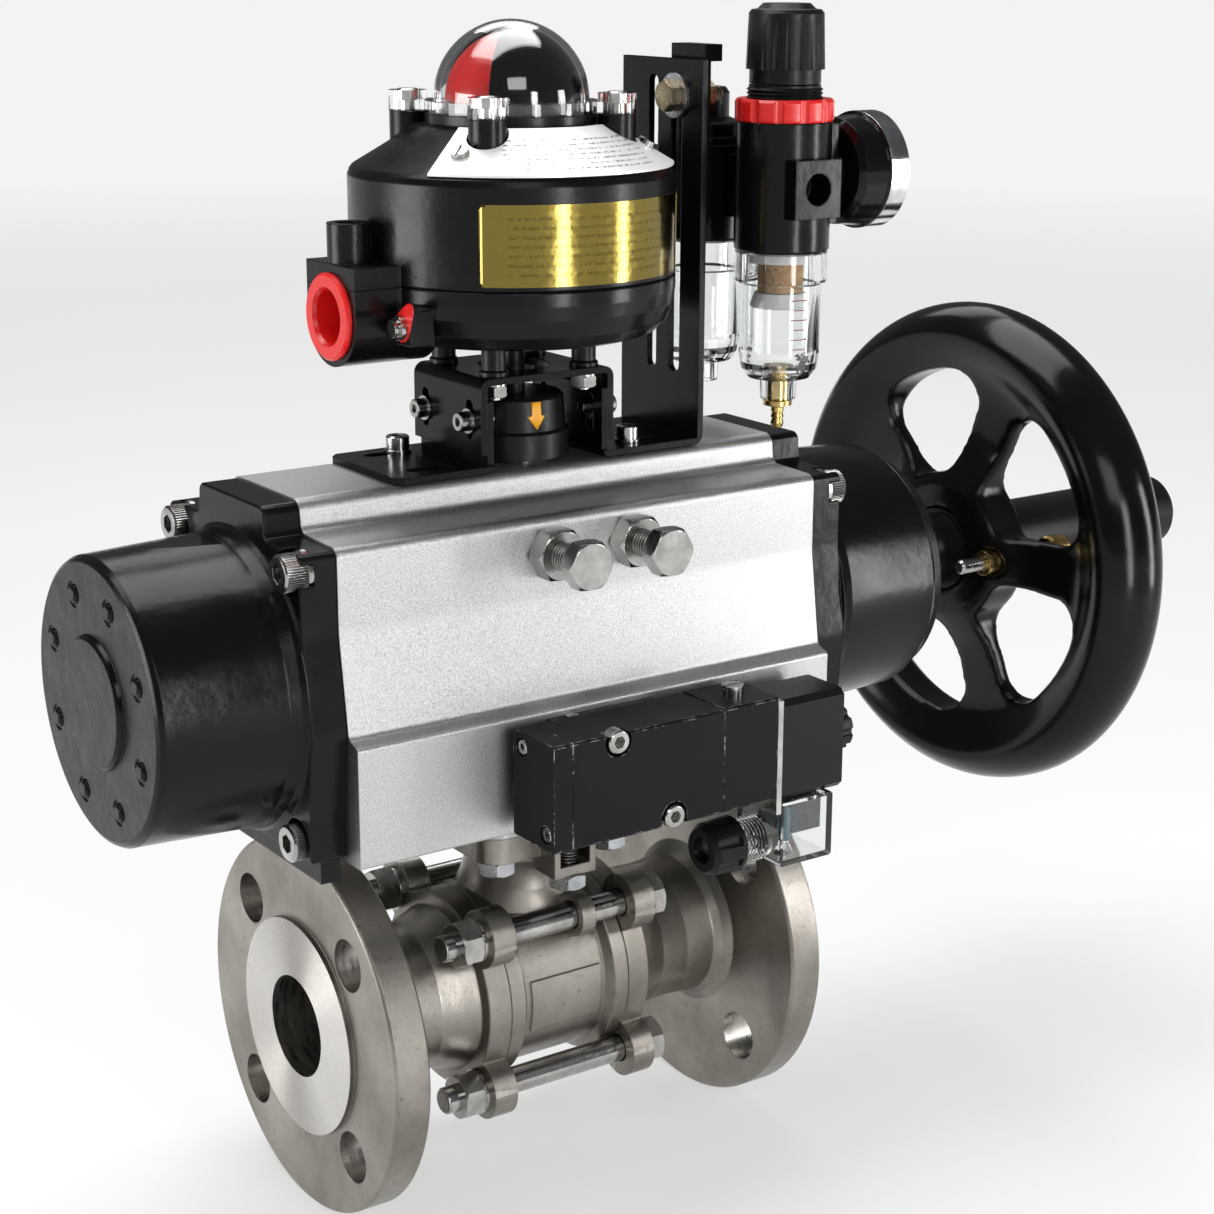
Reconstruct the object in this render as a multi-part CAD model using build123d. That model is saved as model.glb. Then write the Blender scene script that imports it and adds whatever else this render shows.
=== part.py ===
from build123d import *
import math
import os

# Pneumatically actuated flanged ball valve with limit-switch box, air service unit, pilot solenoid
# valve and a handwheel override.  Millimetres.  The model is laid out about the centre of the ball:
# +X runs along the pipe towards the outlet, +Z runs up the stem, -Y is the solenoid side.
# Every piece is shifted along X on export so that the origin is the centre of the inlet raised face.

HALF_FACE_TO_FACE = 96.0        # flange raised face to ball centre

# pipe flanges (JIS 10K 40A drilling)
FLANGE_OD = 140.0
FLANGE_PCD = 105.0
FLANGE_HOLE = 19.0
FLANGE_THICK = 16.0
RAISED_FACE_OD = 81.0
RAISED_FACE_H = 2.0
BORE_D = 38.0

# three-piece ball valve
BODY_HALF = 26.2                # half length of the centre body
PLATE_IN = 26.5                 # inner face of an end-cap plate
PLATE_OUT = 36.0
BARREL_R = 34.0
BALL_R = 28.5
CAVITY_R = 30.8
TIE_PITCH = 30.3                # tie bolts sit at (+-pitch, +-pitch)
TIE_D = 10.0
PAD_TOP = 68.0                  # top of the actuator mounting pad
PAD_BOTTOM = 58.0
F07_HALF = 24.75                # ISO 5211 F07 square half pitch
STEM_D = 14.0

# rack and pinion actuator
AXIS_Z = 136.5                  # height of the cylinder axis
BODY_X = 100.5                  # half length of the extruded body
CYL_R = 46.0
BODY_TOP = 202.0
BODY_BOTTOM = 82.0
CAP_FLANGE_X = 114.0
CAP_END_X = 165.7
CAN_R = 49.4
PITCH_R = 14.0                  # pinion pitch radius
MODULE = 2.0
RACK_Z0 = AXIS_Z - 16
RACK_Z1 = AXIS_Z + 16
PISTON_IN = 46.5                # inner face of the piston head with the valve shut
PISTON_OUT = 62.0
RACK_TIP = 12.7                 # distance of the rack tooth tips from the pinion axis
STOP_X = (-17.0, 17.0)          # travel stop bolts and the cam on the pinion that meets them
STOP_Z = 178.0
STOP_TIP = 12.3
STOP_CAM_R = 22.0
CAP_SCREWS = [(y, z) for y in (-42.0, 42.0) for z in (89.5, 183.0)]

# switch-box bracket
SHEET = 2.5
FOOT_Z = BODY_TOP
FOOT_HALF_Y = 24.5
BRIDGE_HALF_X = 28.0
BRIDGE_HALF_Y = 23.0
BRIDGE_TOP = 235.0
UPRIGHT_X = 67.5
UPRIGHT_TOP = 341.0
UPRIGHT_SLOTS = (5.0, -9.0)     # centres of the two long slots
POSTS = [(x, y) for x in (-19.0, 19.0) for y in (-17.0, 17.0)]

# limit-switch box
BOX_BOTTOM = 247.0
BOX_JOINT = 268.5
BOX_SHOULDER = 305.0
BOX_TOP = 320.0
BOX_R = 58.0
DOME_R = 27.5
DOME_Z = 324.0
EAR = 26.5
MASK_TURN = 39.6                # turn of the black quadrants inside the dome

# air service unit
FRL_X = 97.0
FRL_MID_Y = -7.5
FRL_PITCH = 48.0
FILTER_Y = FRL_MID_Y - FRL_PITCH / 2
LUBE_Y = FRL_MID_Y + FRL_PITCH / 2
PORT_Z = 296.0

# pilot solenoid valve
SOL_FRONT = -90.6
SOL_BACK = -65.3
SOL_PAD = -60.9
SOL_Z0 = 84.5
SOL_Z1 = 122.8
NAMUR_X = -4.5
NAMUR_Z = 103.9

# handwheel override
RIM_R = 101.7
WHEEL_X = 211.0
SPOKES = 5
WINDOW_IN = 32.0                # radial reach of the openings between the spokes
WINDOW_OUT = 74.5
STEM_COVER_END = 340.0
LOCK_PIN_Y = -29.0


# ---------------------------------------------------------------- helpers

def block(x0, x1, y0, y1, z0, z1):
    return Pos((x0 + x1) / 2, (y0 + y1) / 2, (z0 + z1) / 2) * Box(x1 - x0, y1 - y0, z1 - z0)


def cyl_x(r, x0, x1, y=0.0, z=0.0):
    return Pos((x0 + x1) / 2, y, z) * Rot(0, 90, 0) * Cylinder(r, x1 - x0)


def cyl_y(r, y0, y1, x=0.0, z=0.0):
    return Pos(x, (y0 + y1) / 2, z) * Rot(90, 0, 0) * Cylinder(r, y1 - y0)


def cyl_z(r, z0, z1, x=0.0, y=0.0):
    return Pos(x, y, (z0 + z1) / 2) * Cylinder(r, z1 - z0)


def turned_z(points, x=0.0, y=0.0):
    """Solid of revolution about a vertical axis from (radius, z) points."""
    face = Plane.XZ * make_face(Polyline(*points, close=True))
    return Pos(x, y, 0) * revolve(face, Axis.Z)


def turned_x(points, y=0.0, z=0.0):
    """Solid of revolution about an axis along X from (x, radius) points."""
    face = make_face(Polyline(*points, close=True))
    return Pos(0, y, z) * revolve(face, Axis.X)


def rounded_face(points):
    """Flat face from (a, b, corner radius) points."""
    face = make_face(Polyline(*[(a, b) for a, b, _ in points], close=True))
    for a, b, radius in points:
        if radius:
            corner = face.vertices().sort_by_distance(Vector(a, b, 0))[0]
            face = fillet(corner, radius)
    return face


def prism_x(face, x0, x1):
    """Extrusion along X of a face drawn in (y, z)."""
    return Pos(x0, 0, 0) * extrude(Plane.YZ * face, x1 - x0)


def hexagon(across_flats, height):
    """Hexagon standing on z = 0 with the corners turned off at both ends."""
    corner = across_flats / math.sqrt(3)
    cut = 0.8 * (corner - across_flats / 2)
    body = extrude(RegularPolygon(across_flats / 2, 6, major_radius=False), height)
    blank = turned_z([(0, 0), (across_flats / 2, 0), (corner, cut), (corner, height - cut),
                      (across_flats / 2, height), (0, height)])
    return body & blank


def hex_bolt(d, across_flats, head, length):
    """Hex bolt with its head above z = 0 and its shank below."""
    shank = Pos(0, 0, -length / 2) * Cylinder(d / 2, length)
    tip = shank.edges().sort_by(Axis.Z)[0]
    return hexagon(across_flats, head) + chamfer(tip, d * 0.08)


def hex_nut(d, across_flats, height):
    return hexagon(across_flats, height) - cyl_z(d / 2 + 0.05, -1, height + 1)


def socket_screw(d, head_d, head_h, key, length):
    """Socket cap screw with its head above z = 0 and its shank below."""
    head = Pos(0, 0, head_h / 2) * Cylinder(head_d / 2, head_h)
    head = chamfer(head.edges().sort_by(Axis.Z)[-1], 0.06 * head_d)
    socket = Pos(0, 0, head_h * 0.45) * extrude(RegularPolygon(key / 2, 6, major_radius=False), head_h)
    return head - socket + Pos(0, 0, -length / 2) * Cylinder(d / 2, length)


def washer(inner, outer, height):
    return cyl_z(outer / 2, 0, height) - cyl_z(inner / 2, -1, height + 1)


def slot_x(length, width, x, y, z0, z1):
    """Vertical cutter for a slot running along X."""
    return Pos(x, y, z0) * extrude(SlotOverall(length, width), z1 - z0)


def facing(direction):
    """Rotation that turns a +Z part to point along a named direction."""
    return {"+x": Rot(0, 90, 0), "-x": Rot(0, -90, 0), "+y": Rot(-90, 0, 0), "-y": Rot(90, 0, 0),
            "+z": Rot(0, 0, 0), "-z": Rot(180, 0, 0)}[direction]


def merge(parts):
    """Several loose solids that share one node."""
    return Compound([solid for part in parts for solid in part.solids()])


# ---------------------------------------------------------------- ball valve

def tie_places():
    return [(y, z) for y in (-TIE_PITCH, TIE_PITCH) for z in (-TIE_PITCH, TIE_PITCH)]


def valve_body():
    ring = BODY_HALF - 6
    body = turned_x([(-BODY_HALF, 0), (-BODY_HALF, 37.5), (-ring, 37.5), (-ring + 2.5, BARREL_R),
                     (ring - 2.5, BARREL_R), (ring, 37.5), (BODY_HALF, 37.5), (BODY_HALF, 0)])
    body += turned_z([(0, 0), (25.5, 0), (25.5, 32), (22, 40), (19, 50), (19, PAD_BOTTOM), (0, PAD_BOTTOM)])
    pad = Pos(0, 0, PAD_BOTTOM) * extrude(RectangleRounded(66, 66, 9), PAD_TOP - PAD_BOTTOM)
    body += pad
    panel = cyl_x(BARREL_R + 0.9, -15.5, 15.5) & block(-15.5, 15.5, -50, 0, -11, 9)
    body += panel
    for y in (-TIE_PITCH, TIE_PITCH):
        body += cyl_x(8.3, 4.5, 10.5, y, TIE_PITCH)
        body += block(4.5, 10.5, min(y, y * 0.6), max(y, y * 0.6), TIE_PITCH - 9, TIE_PITCH + 3)
    # slotted ear on the solenoid side of the pad
    body += block(-11, 7, -43, -30, 52, 56) + block(-11, -8.5, -43, -30, 56, PAD_TOP)
    body += block(4.5, 7, -43, -30, 56, PAD_TOP) + block(-11, 7, -31, -28, 52.5, PAD_TOP)
    body -= cyl_x(CAVITY_R, -40, 40)
    for y in (-TIE_PITCH, TIE_PITCH):
        body -= cyl_x(TIE_D / 2 + 0.4, -40, 40, y, TIE_PITCH)
    body -= cyl_z(10.3, 25, 35) + cyl_z(STEM_D / 2 + 0.08, 25, 70) + cyl_z(11.2, 42, PAD_TOP + 1)
    for x in (-F07_HALF, F07_HALF):
        for y in (-F07_HALF, F07_HALF):
            body -= cyl_z(4.5, PAD_BOTTOM - 1, PAD_TOP + 1, x, y)
    body -= cyl_z(4.5, 50, PAD_TOP + 1, -2, -37.5)
    return body


def end_cap(side):
    """Inlet cap for side = -1, outlet cap for side = +1."""
    far = HALF_FACE_TO_FACE
    back = far - FLANGE_THICK
    flange_r = FLANGE_OD / 2
    cap = turned_x([(PLATE_IN, 0), (PLATE_IN, 37.5), (PLATE_OUT - 0.5, 37.5), (PLATE_OUT, 37), (PLATE_OUT, 32),
                    (42, 30), (50, 27.5), (62, 27), (74, 28), (back - 3, 30), (back, 33),
                    (back, flange_r - 1), (back + 1, flange_r), (far - RAISED_FACE_H - 1, flange_r),
                    (far - RAISED_FACE_H, flange_r - 1), (far - RAISED_FACE_H, RAISED_FACE_OD / 2),
                    (far, RAISED_FACE_OD / 2), (far, 0)])
    for y, z in tie_places():
        cap += cyl_x(11.0, PLATE_IN, PLATE_OUT, y, z)
        arm = Pos(PLATE_IN, 0, 0) * (Rot(math.degrees(math.atan2(z, y)), 0, 0) * block(0, PLATE_OUT - PLATE_IN,
                                                                                      20, 40, -9.5, 9.5))
        cap += arm
    for y, z in tie_places():
        cap -= cyl_x(TIE_D / 2 + 0.5, 20, 45, y, z)
    cap -= cyl_x(BORE_D / 2, 0, 120)
    cap -= cyl_x(27.1, 20, 30.1)
    cap -= cyl_x(33.6, 20, 28.0) - cyl_x(31.3, 20, 29)
    hole_r = FLANGE_PCD / 2
    for k in range(4):
        angle = math.radians(45 + 90 * k)
        cap -= cyl_x(FLANGE_HOLE / 2, back - 2, far + 2, hole_r * math.cos(angle), hole_r * math.sin(angle))
    return cap if side > 0 else cap.mirror(Plane.YZ)


def ball():
    # valve shut: the bore of the ball lies across the pipe
    shape = Sphere(BALL_R) & block(-24.5, 24.5, -40, 40, -40, 40)
    shape -= cyl_y(BORE_D / 2, -40, 40)
    shape -= block(-4.2, 4.2, -40, 40, 21.5, 40)
    return shape


def stem():
    tang = block(-4.0, 4.0, -9.0, 9.0, 22.0, 30.0)
    shaft = turned_z([(0, 29.5), (10, 29.5), (10, 33.2), (STEM_D / 2, 33.2), (STEM_D / 2, 68), (0, 68)])
    square = Pos(0, 0, 74) * Box(11, 11, 16)
    return tang + shaft + (square & cyl_z(7.2, 60, 90))


def seats():
    rings = []
    for side in (-1, 1):
        lo, hi = sorted((side * 21.4, side * 30.0))
        rings.append(cyl_x(27.0, lo, hi) - cyl_x(BORE_D / 2 + 0.6, -40, 40))
        lo, hi = sorted((side * 26.25, side * 27.95))
        rings.append(cyl_x(33.5, lo, hi) - cyl_x(31.4, -40, 40))
    rings.append(cyl_z(11.1, 42.1, 50) - cyl_z(STEM_D / 2 + 0.04, 40, 52))
    rings.append(cyl_z(10.2, 33.5, 34.9) - cyl_z(STEM_D / 2 + 0.04, 30, 36))
    return merge(rings)


def gland_nut():
    nut = cyl_z(11.1, 50.1, 57) - cyl_z(STEM_D / 2 + 0.3, 49, 60)
    return nut - block(-12, 12, -1.6, 1.6, 55, 58)


def tie_bolts():
    pieces = []
    for y, z in tie_places():
        bolt = hex_bolt(TIE_D, 16.0, 7.0, 88.5)
        pieces.append(Pos(PLATE_OUT, y, z) * facing("+x") * bolt)
        pieces.append(Pos(-PLATE_OUT - 2.3, y, z) * facing("+x") * washer(TIE_D + 0.6, 17.0, 2.3))
        pieces.append(Pos(-PLATE_OUT - 2.3 - 8.4, y, z) * facing("+x") * hex_nut(TIE_D, 16.0, 8.4))
    return merge(pieces)


def pad_bolts():
    pieces = []
    places = [(x, y, PAD_BOTTOM) for x in (-F07_HALF, F07_HALF) for y in (-F07_HALF, F07_HALF)]
    for x, y, z in places + [(-2.0, -37.5, 52.0)]:
        pieces.append(Pos(x, y, z) * facing("-z") * hex_bolt(8.0, 13.0, 5.5, 20.0 if z > 55 else 26.0))
    return merge(pieces)


# ---------------------------------------------------------------- actuator

def mirrored_outline(half):
    """Whole outline from the (y, z, radius) points of its +Y half, top to bottom."""
    return rounded_face(half + [(-y, z, radius) for y, z, radius in reversed(half)])


def body_section():
    return mirrored_outline([(24.4, BODY_TOP, 4.5), (25.4, 191.2, 3.5), (49.9, 190.6, 3.5), (49.9, 161.5, 25.0),
                             (54.9, 126.4, 2.5), (60.7, 124.4, 1.5), (60.7, BODY_BOTTOM, 0.8)])


def cap_section():
    return mirrored_outline([(24.0, BODY_TOP - 0.8, 3.0), (25.0, 190.4, 2.5), (49.4, 189.8, 2.5), (49.4, 161.5, 25.0),
                             (54.2, 128.0, 20.0), (51.5, 96.0, 20.0), (51.5, 83.8, 1.5)])


def actuator_body():
    body = prism_x(body_section(), -BODY_X, BODY_X)
    # square boss under the body that takes the valve pad
    body += Pos(0, 0, PAD_TOP) * extrude(RectangleRounded(66, 66, 9), BODY_BOTTOM - PAD_TOP)
    body -= cyl_x(CYL_R, -BODY_X - 1, BODY_X + 1, 0, AXIS_Z)
    body -= cyl_z(17.6, 84, AXIS_Z) + cyl_z(16.1, PAD_TOP - 1, 90) + cyl_z(15.1, AXIS_Z, BODY_TOP + 1)
    for x in (-F07_HALF, F07_HALF):
        for y in (-F07_HALF, F07_HALF):
            body -= cyl_z(4.05, PAD_TOP - 1, PAD_TOP + 13, x, y)
    for x in (-40, 40):
        for y in (-15, 15):
            body -= cyl_z(2.55, 190, BODY_TOP + 1, x, y)
    for y, z in CAP_SCREWS:
        body -= cyl_x(4.05, -BODY_X - 1, -BODY_X + 22, y, z) + cyl_x(4.05, BODY_X - 22, BODY_X + 1, y, z)
    for x in STOP_X:
        body -= cyl_y(5.05, -62, -STOP_TIP + 1, x, STOP_Z)
    body -= cyl_z(STOP_CAM_R + 0.5, STOP_Z - 4.6, STOP_Z + 4.6)
    for x in (NAMUR_X - 12, NAMUR_X + 12):
        z = NAMUR_Z + 16 if x < NAMUR_X else NAMUR_Z - 16
        body -= cyl_y(2.55, -62, -49, x, z)
        body -= cyl_y(4.0, -62, -30, x, NAMUR_Z)
    return body


def cap_blank():
    """End cap on the -X side: profiled flange, bell and can."""
    flange = prism_x(cap_section(), -CAP_FLANGE_X, -BODY_X)
    flange = chamfer(flange.faces().sort_by(Axis.X)[0].edges(), 0.6)
    flange += block(-BODY_X - 7.5, -BODY_X, -46.5, 46.5, 74.0, 90.0)
    can = turned_x([(-CAP_FLANGE_X, 0), (-CAP_FLANGE_X, 54.0), (-CAP_FLANGE_X - 2, 52.6),
                    (-CAP_FLANGE_X - 6, 51.6), (-CAP_END_X + 2.5, CAN_R + 0.4), (-CAP_END_X + 0.8, CAN_R - 0.6),
                    (-CAP_END_X, CAN_R - 2.0), (-CAP_END_X, 0)], 0, AXIS_Z)
    can += flange & cyl_x(54.0, -CAP_FLANGE_X, -BODY_X, 0, AXIS_Z)
    shell = flange + can
    # flat along the crown of the can
    shell -= block(-CAP_END_X - 1, -CAP_FLANGE_X - 8, -30, 30, AXIS_Z + 50.6, AXIS_Z + 60)
    for y, z in CAP_SCREWS:
        shell -= cyl_x(8.2, -CAP_FLANGE_X - 30, -CAP_FLANGE_X + 5.5, y, z)
        shell -= cyl_x(4.3, -CAP_FLANGE_X - 5, -BODY_X + 1, y, z)
    shell -= cyl_x(44.5, -CAP_END_X + 5, -BODY_X + 1, 0, AXIS_Z)
    return shell


def spring_cap():
    cap = cap_blank()
    cap += turned_x([(-CAP_END_X - 2.4, 0), (-CAP_END_X - 2.4, 22), (-CAP_END_X - 1.4, 23), (-CAP_END_X, 23.4),
                     (-CAP_END_X, 0)], 0, AXIS_Z)
    for k in range(8):
        angle = math.radians(22.5 + 45 * k)
        y, z = 37.3 * math.cos(angle), AXIS_Z + 37.3 * math.sin(angle)
        cap -= cyl_x(4.6, -CAP_END_X - 1, -CAP_END_X + 0.5, y, z)
        cap += turned_x([(-CAP_END_X - 1.0, 0), (-CAP_END_X - 1.0, 2.2), (-CAP_END_X, 3.3), (-CAP_END_X + 0.6, 3.3),
                         (-CAP_END_X + 0.6, 0)], y, z)
    return cap


def drive_cap():
    cap = cap_blank().mirror(Plane.YZ)
    # end disc and neck that carry the override
    cap += turned_x([(CAP_END_X - 1, 0), (CAP_END_X - 1, 46), (CAP_END_X + 5, 46), (CAP_END_X + 6, 45),
                     (CAP_END_X + 6, 22), (CAP_END_X + 24, 20), (CAP_END_X + 24, 0)], 0, AXIS_Z)
    cap -= cyl_x(15.2, CAP_END_X + 3, CAP_END_X + 30, 0, AXIS_Z)
    cap -= cyl_x(7.4, CAP_END_X - 8, CAP_END_X + 10, 0, AXIS_Z)
    cap -= cyl_x(4.5, CAP_END_X + 1, CAP_END_X + 9, LOCK_PIN_Y, AXIS_Z)
    return cap


def cap_screws():
    screw = socket_screw(8.0, 13.0, 8.0, 6.0, 24.0)
    pieces = []
    for y, z in CAP_SCREWS:
        pieces.append(Pos(-CAP_FLANGE_X + 5.5 - 1.8, y, z) * facing("-x") * screw)
        pieces.append(Pos(CAP_FLANGE_X - 5.5 + 1.8, y, z) * facing("+x") * screw)
        for x in (-CAP_FLANGE_X + 3.7, CAP_FLANGE_X - 5.5):
            pieces.append(Pos(x, y, z) * facing("+x") * washer(8.4, 14.6, 1.8))
    return merge(pieces)


def rack_tooth_cuts():
    """Tooth spaces of the rack whose pitch line is y = -PITCH_R, one of them centred on x = 0."""
    pitch = math.pi * MODULE
    root = PITCH_R + 1.25 * MODULE
    flank = math.tan(math.radians(20))
    half = pitch / 4 + 0.2
    cuts = []
    for k in range(-6, 8):
        x = k * pitch
        root_w = half - (root - PITCH_R) * flank
        open_w = half + (PITCH_R - RACK_TIP + 1) * flank
        outline = [(x - root_w, -root), (x + root_w, -root), (x + open_w, 1 - RACK_TIP), (x - open_w, 1 - RACK_TIP)]
        face = Pos(0, 0, RACK_Z0 - 1) * make_face(Polyline(*outline, close=True))
        cuts.append(extrude(face, RACK_Z1 - RACK_Z0 + 2, dir=(0, 0, 1)))
    return cuts


def piston(side):
    """Right piston for side = +1 with its rack on the -Y side; the left one is the same turned half a turn."""
    head = cyl_x(CYL_R - 0.12, PISTON_IN, PISTON_OUT, 0, AXIS_Z)
    head -= cyl_x(CYL_R + 1, 52, 55, 0, AXIS_Z) - cyl_x(CYL_R - 3, 51, 56, 0, AXIS_Z)
    head -= cyl_x(36, 56, PISTON_OUT + 1, 0, AXIS_Z) - cyl_x(16, 56, PISTON_OUT + 1, 0, AXIS_Z)
    arm = block(-36, PISTON_IN + 1, -30, -RACK_TIP, RACK_Z0, RACK_Z1)
    arm &= cyl_x(CYL_R - 2, -40, PISTON_IN + 1, 0, AXIS_Z)
    arm -= rack_tooth_cuts()
    shape = head + arm
    if side > 0:
        shape -= cyl_x(7.0, PISTON_IN - 1, PISTON_OUT + 1, 0, AXIS_Z)
    return shape if side > 0 else Rot(0, 0, 180) * shape


def pinion_teeth():
    teeth = round(2 * PITCH_R / MODULE)
    pitch_angle = 2 * math.pi / teeth
    tip_r = PITCH_R + 0.8 * MODULE
    root_r = PITCH_R - 1.25 * MODULE
    points = []
    for k in range(teeth):
        centre = k * pitch_angle + math.pi / 2
        for r, half in ((root_r, 0.27), (PITCH_R - 0.5 * MODULE, 0.25), (PITCH_R, 0.225), (tip_r, 0.12),
                        (tip_r, -0.12), (PITCH_R, -0.225), (PITCH_R - 0.5 * MODULE, -0.25), (root_r, -0.27)):
            angle = centre - half * pitch_angle
            points.append((r * math.cos(angle), r * math.sin(angle)))
    return Pos(0, 0, RACK_Z0 - 1) * extrude(make_face(Polyline(*points, close=True)), RACK_Z1 - RACK_Z0 + 2)


def pinion():
    shaft = turned_z([(0, 70), (16, 70), (16, 84.3), (17.3, 84.3), (17.3, 100), (11.4, 108), (11.4, 165),
                      (15, 172), (15, BODY_TOP + 6), (14, BODY_TOP + 7), (0, BODY_TOP + 7)])
    shaft += pinion_teeth()
    # cam whose two flats meet the stop bolts at the ends of the quarter turn
    cam = cyl_z(STOP_CAM_R, STOP_Z - 4, STOP_Z + 4)
    shaft += cam & block(-STOP_TIP + 0.3, 40, -STOP_TIP + 0.3, 40, STOP_Z - 5, STOP_Z + 5)
    shaft -= Pos(0, 0, 74) * Box(11.2, 11.2, 18)
    flats = block(-20, 20, 9.5, 20, BODY_TOP + 1.0, BODY_TOP + 8)
    shaft -= flats + flats.mirror(Plane.XZ)
    slot = block(-2.05, 2.05, -20, 20, BODY_TOP + 3, BODY_TOP + 8)
    return shaft - slot


def coil_spring(x0, x1, mean_r, wire_r, turns):
    height = abs(x1 - x0) - 2 * wire_r - 0.4
    path = Helix(pitch=height / turns, height=height, radius=mean_r)
    profile = Plane(origin=path @ 0, z_dir=path % 0) * Circle(wire_r)
    coil = sweep(profile, path)
    start = min(x0, x1) + wire_r + 0.2
    return Pos(start, 0, AXIS_Z) * Rot(0, 90, 0) * coil


def left_spring():
    return coil_spring(-CAP_END_X + 5, -56.0, 29.0, 3.2, 8)


def right_spring():
    return coil_spring(56.0, CAP_END_X - 5, 29.0, 3.2, 8)


def stop_bolts():
    pieces = []
    for x in STOP_X:
        pieces.append(Pos(x, -68.5, STOP_Z) * facing("-y") * hex_bolt(10.0, 16.0, 7.0, 68.5 - STOP_TIP))
        pieces.append(Pos(x, -49.9, STOP_Z) * facing("-y") * hex_nut(10.0, 17.0, 8.0))
    return merge(pieces)


def indicator_cup():
    z0 = BODY_TOP + 1.0
    cup = turned_z([(15.8, z0), (20.0, z0), (20.0, z0 + 9), (18.6, z0 + 10), (18.0, z0 + 21), (17.0, z0 + 22),
                    (0, z0 + 22), (0, z0 + 18), (15.3, z0 + 18), (15.8, z0 + 12)])
    cup -= cyl_z(4.2, z0 + 17, z0 + 30)
    return cup


# ---------------------------------------------------------------- bracket

def foot_plate(side):
    """Foot under the switch box; side = -1 is the short foot."""
    wall_in = BRIDGE_HALF_X - 2 * SHEET
    wall_out = BRIDGE_HALF_X - SHEET
    end = 63.0 if side < 0 else UPRIGHT_X
    plate = block(wall_in, end, -FOOT_HALF_Y, FOOT_HALF_Y, FOOT_Z, FOOT_Z + SHEET)
    plate += block(wall_in, wall_out, -BRIDGE_HALF_Y, BRIDGE_HALF_Y, FOOT_Z, BRIDGE_TOP - 8)
    if side < 0:
        plate = chamfer(plate.edges().filter_by(Axis.Z).sort_by(Axis.X)[-2:], 3.0)
    else:
        upright = block(UPRIGHT_X - SHEET, UPRIGHT_X, -FOOT_HALF_Y, FOOT_HALF_Y, FOOT_Z, UPRIGHT_TOP)
        plate += upright
        inner = plate.edges().filter_by(Axis.Y).group_by(Axis.Z)[0].sort_by(Axis.X)[-1]
        plate = fillet(inner, 4.0)
    bend = plate.edges().filter_by(Axis.Y).group_by(Axis.Z)[0].sort_by(Axis.X)[0]
    plate = fillet(bend, 2.3)
    for y in (-15, 15):
        plate -= slot_x(17.0, 5.6, 45.0, y, FOOT_Z - 1, FOOT_Z + SHEET + 1)
        plate -= wall_slot(wall_in - 1, wall_out + 1, y, 210.0, 224.0, 4.5)
    if side > 0:
        for y, width in zip(UPRIGHT_SLOTS, (5.6, 6.6)):
            plate -= wall_slot(UPRIGHT_X - 5, UPRIGHT_X + 2, y, 227.0, 335.0, width)
    return plate if side > 0 else plate.mirror(Plane.YZ)


def wall_slot(x0, x1, y, z0, z1, width):
    """Cutter for a vertical slot through a wall that stands across X."""
    outline = Plane.YZ * Rot(0, 0, 90) * SlotOverall(z1 - z0, width)
    return Pos(x0, y, (z0 + z1) / 2) * extrude(outline, x1 - x0)


def bridge():
    top = block(-BRIDGE_HALF_X, BRIDGE_HALF_X, -BRIDGE_HALF_Y, BRIDGE_HALF_Y, BRIDGE_TOP - SHEET, BRIDGE_TOP)
    for x in (-BRIDGE_HALF_X, BRIDGE_HALF_X - SHEET):
        top += block(x, x + SHEET, -BRIDGE_HALF_Y, BRIDGE_HALF_Y, FOOT_Z + 6, BRIDGE_TOP)
    outer = top.edges().filter_by(Axis.Y).group_by(Axis.Z)[-1]
    top = fillet([outer.sort_by(Axis.X)[0], outer.sort_by(Axis.X)[-1]], 4.0)
    inner = [e for e in top.edges().filter_by(Axis.Y) if abs(abs(e.center().X) - BRIDGE_HALF_X + SHEET) < 0.01
             and abs(e.center().Z - BRIDGE_TOP + SHEET) < 0.01]
    top = fillet(inner, 1.5)
    for y in (-15, 15):
        for x in (-BRIDGE_HALF_X - 1, BRIDGE_HALF_X - SHEET - 1):
            top -= wall_slot(x, x + SHEET + 2, y, 213.0, 227.0, 4.5)
    top -= cyl_z(13.0, 220, 240)
    for x, y in POSTS:
        top -= cyl_z(2.8, 220, 240, x, y)
    return top


def bracket_screws():
    pieces = []
    for x, y in ((-40, 15), (40, -15)):
        pieces.append(Pos(x, y, FOOT_Z + SHEET + 1.2) * socket_screw(5.0, 8.5, 5.0, 4.0, 12.0))
        pieces.append(Pos(x, y, FOOT_Z + SHEET) * washer(5.3, 10.0, 1.2))
    for y in (-15, 15):
        for side, name in ((-1, "-x"), (1, "+x")):
            pieces.append(Pos(side * (BRIDGE_HALF_X + 1.0), y, 219.5) * facing(name)
                          * socket_screw(4.0, 7.0, 4.0, 3.0, 10.0))
            pieces.append(Pos(side * BRIDGE_HALF_X, y, 219.5) * facing(name) * washer(4.3, 9.0, 1.0))
    # zinc plated hex bolt that holds the air service unit
    pieces.append(Pos(UPRIGHT_X - SHEET - 1.6, UPRIGHT_SLOTS[1], 328) * facing("-x") * hex_bolt(6.0, 10.0, 4.5, 21.0))
    pieces.append(Pos(UPRIGHT_X - SHEET, UPRIGHT_SLOTS[1], 328) * facing("-x") * washer(6.4, 16.0, 1.6))
    pieces.append(Pos(74.5, UPRIGHT_SLOTS[1], 328) * facing("+x") * hex_nut(6.0, 10.0, 5.0))
    return merge(pieces)


# ---------------------------------------------------------------- limit-switch box

def box_ears():
    return [(x, y) for x in (-EAR, EAR) for y in (-EAR, EAR)]


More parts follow.
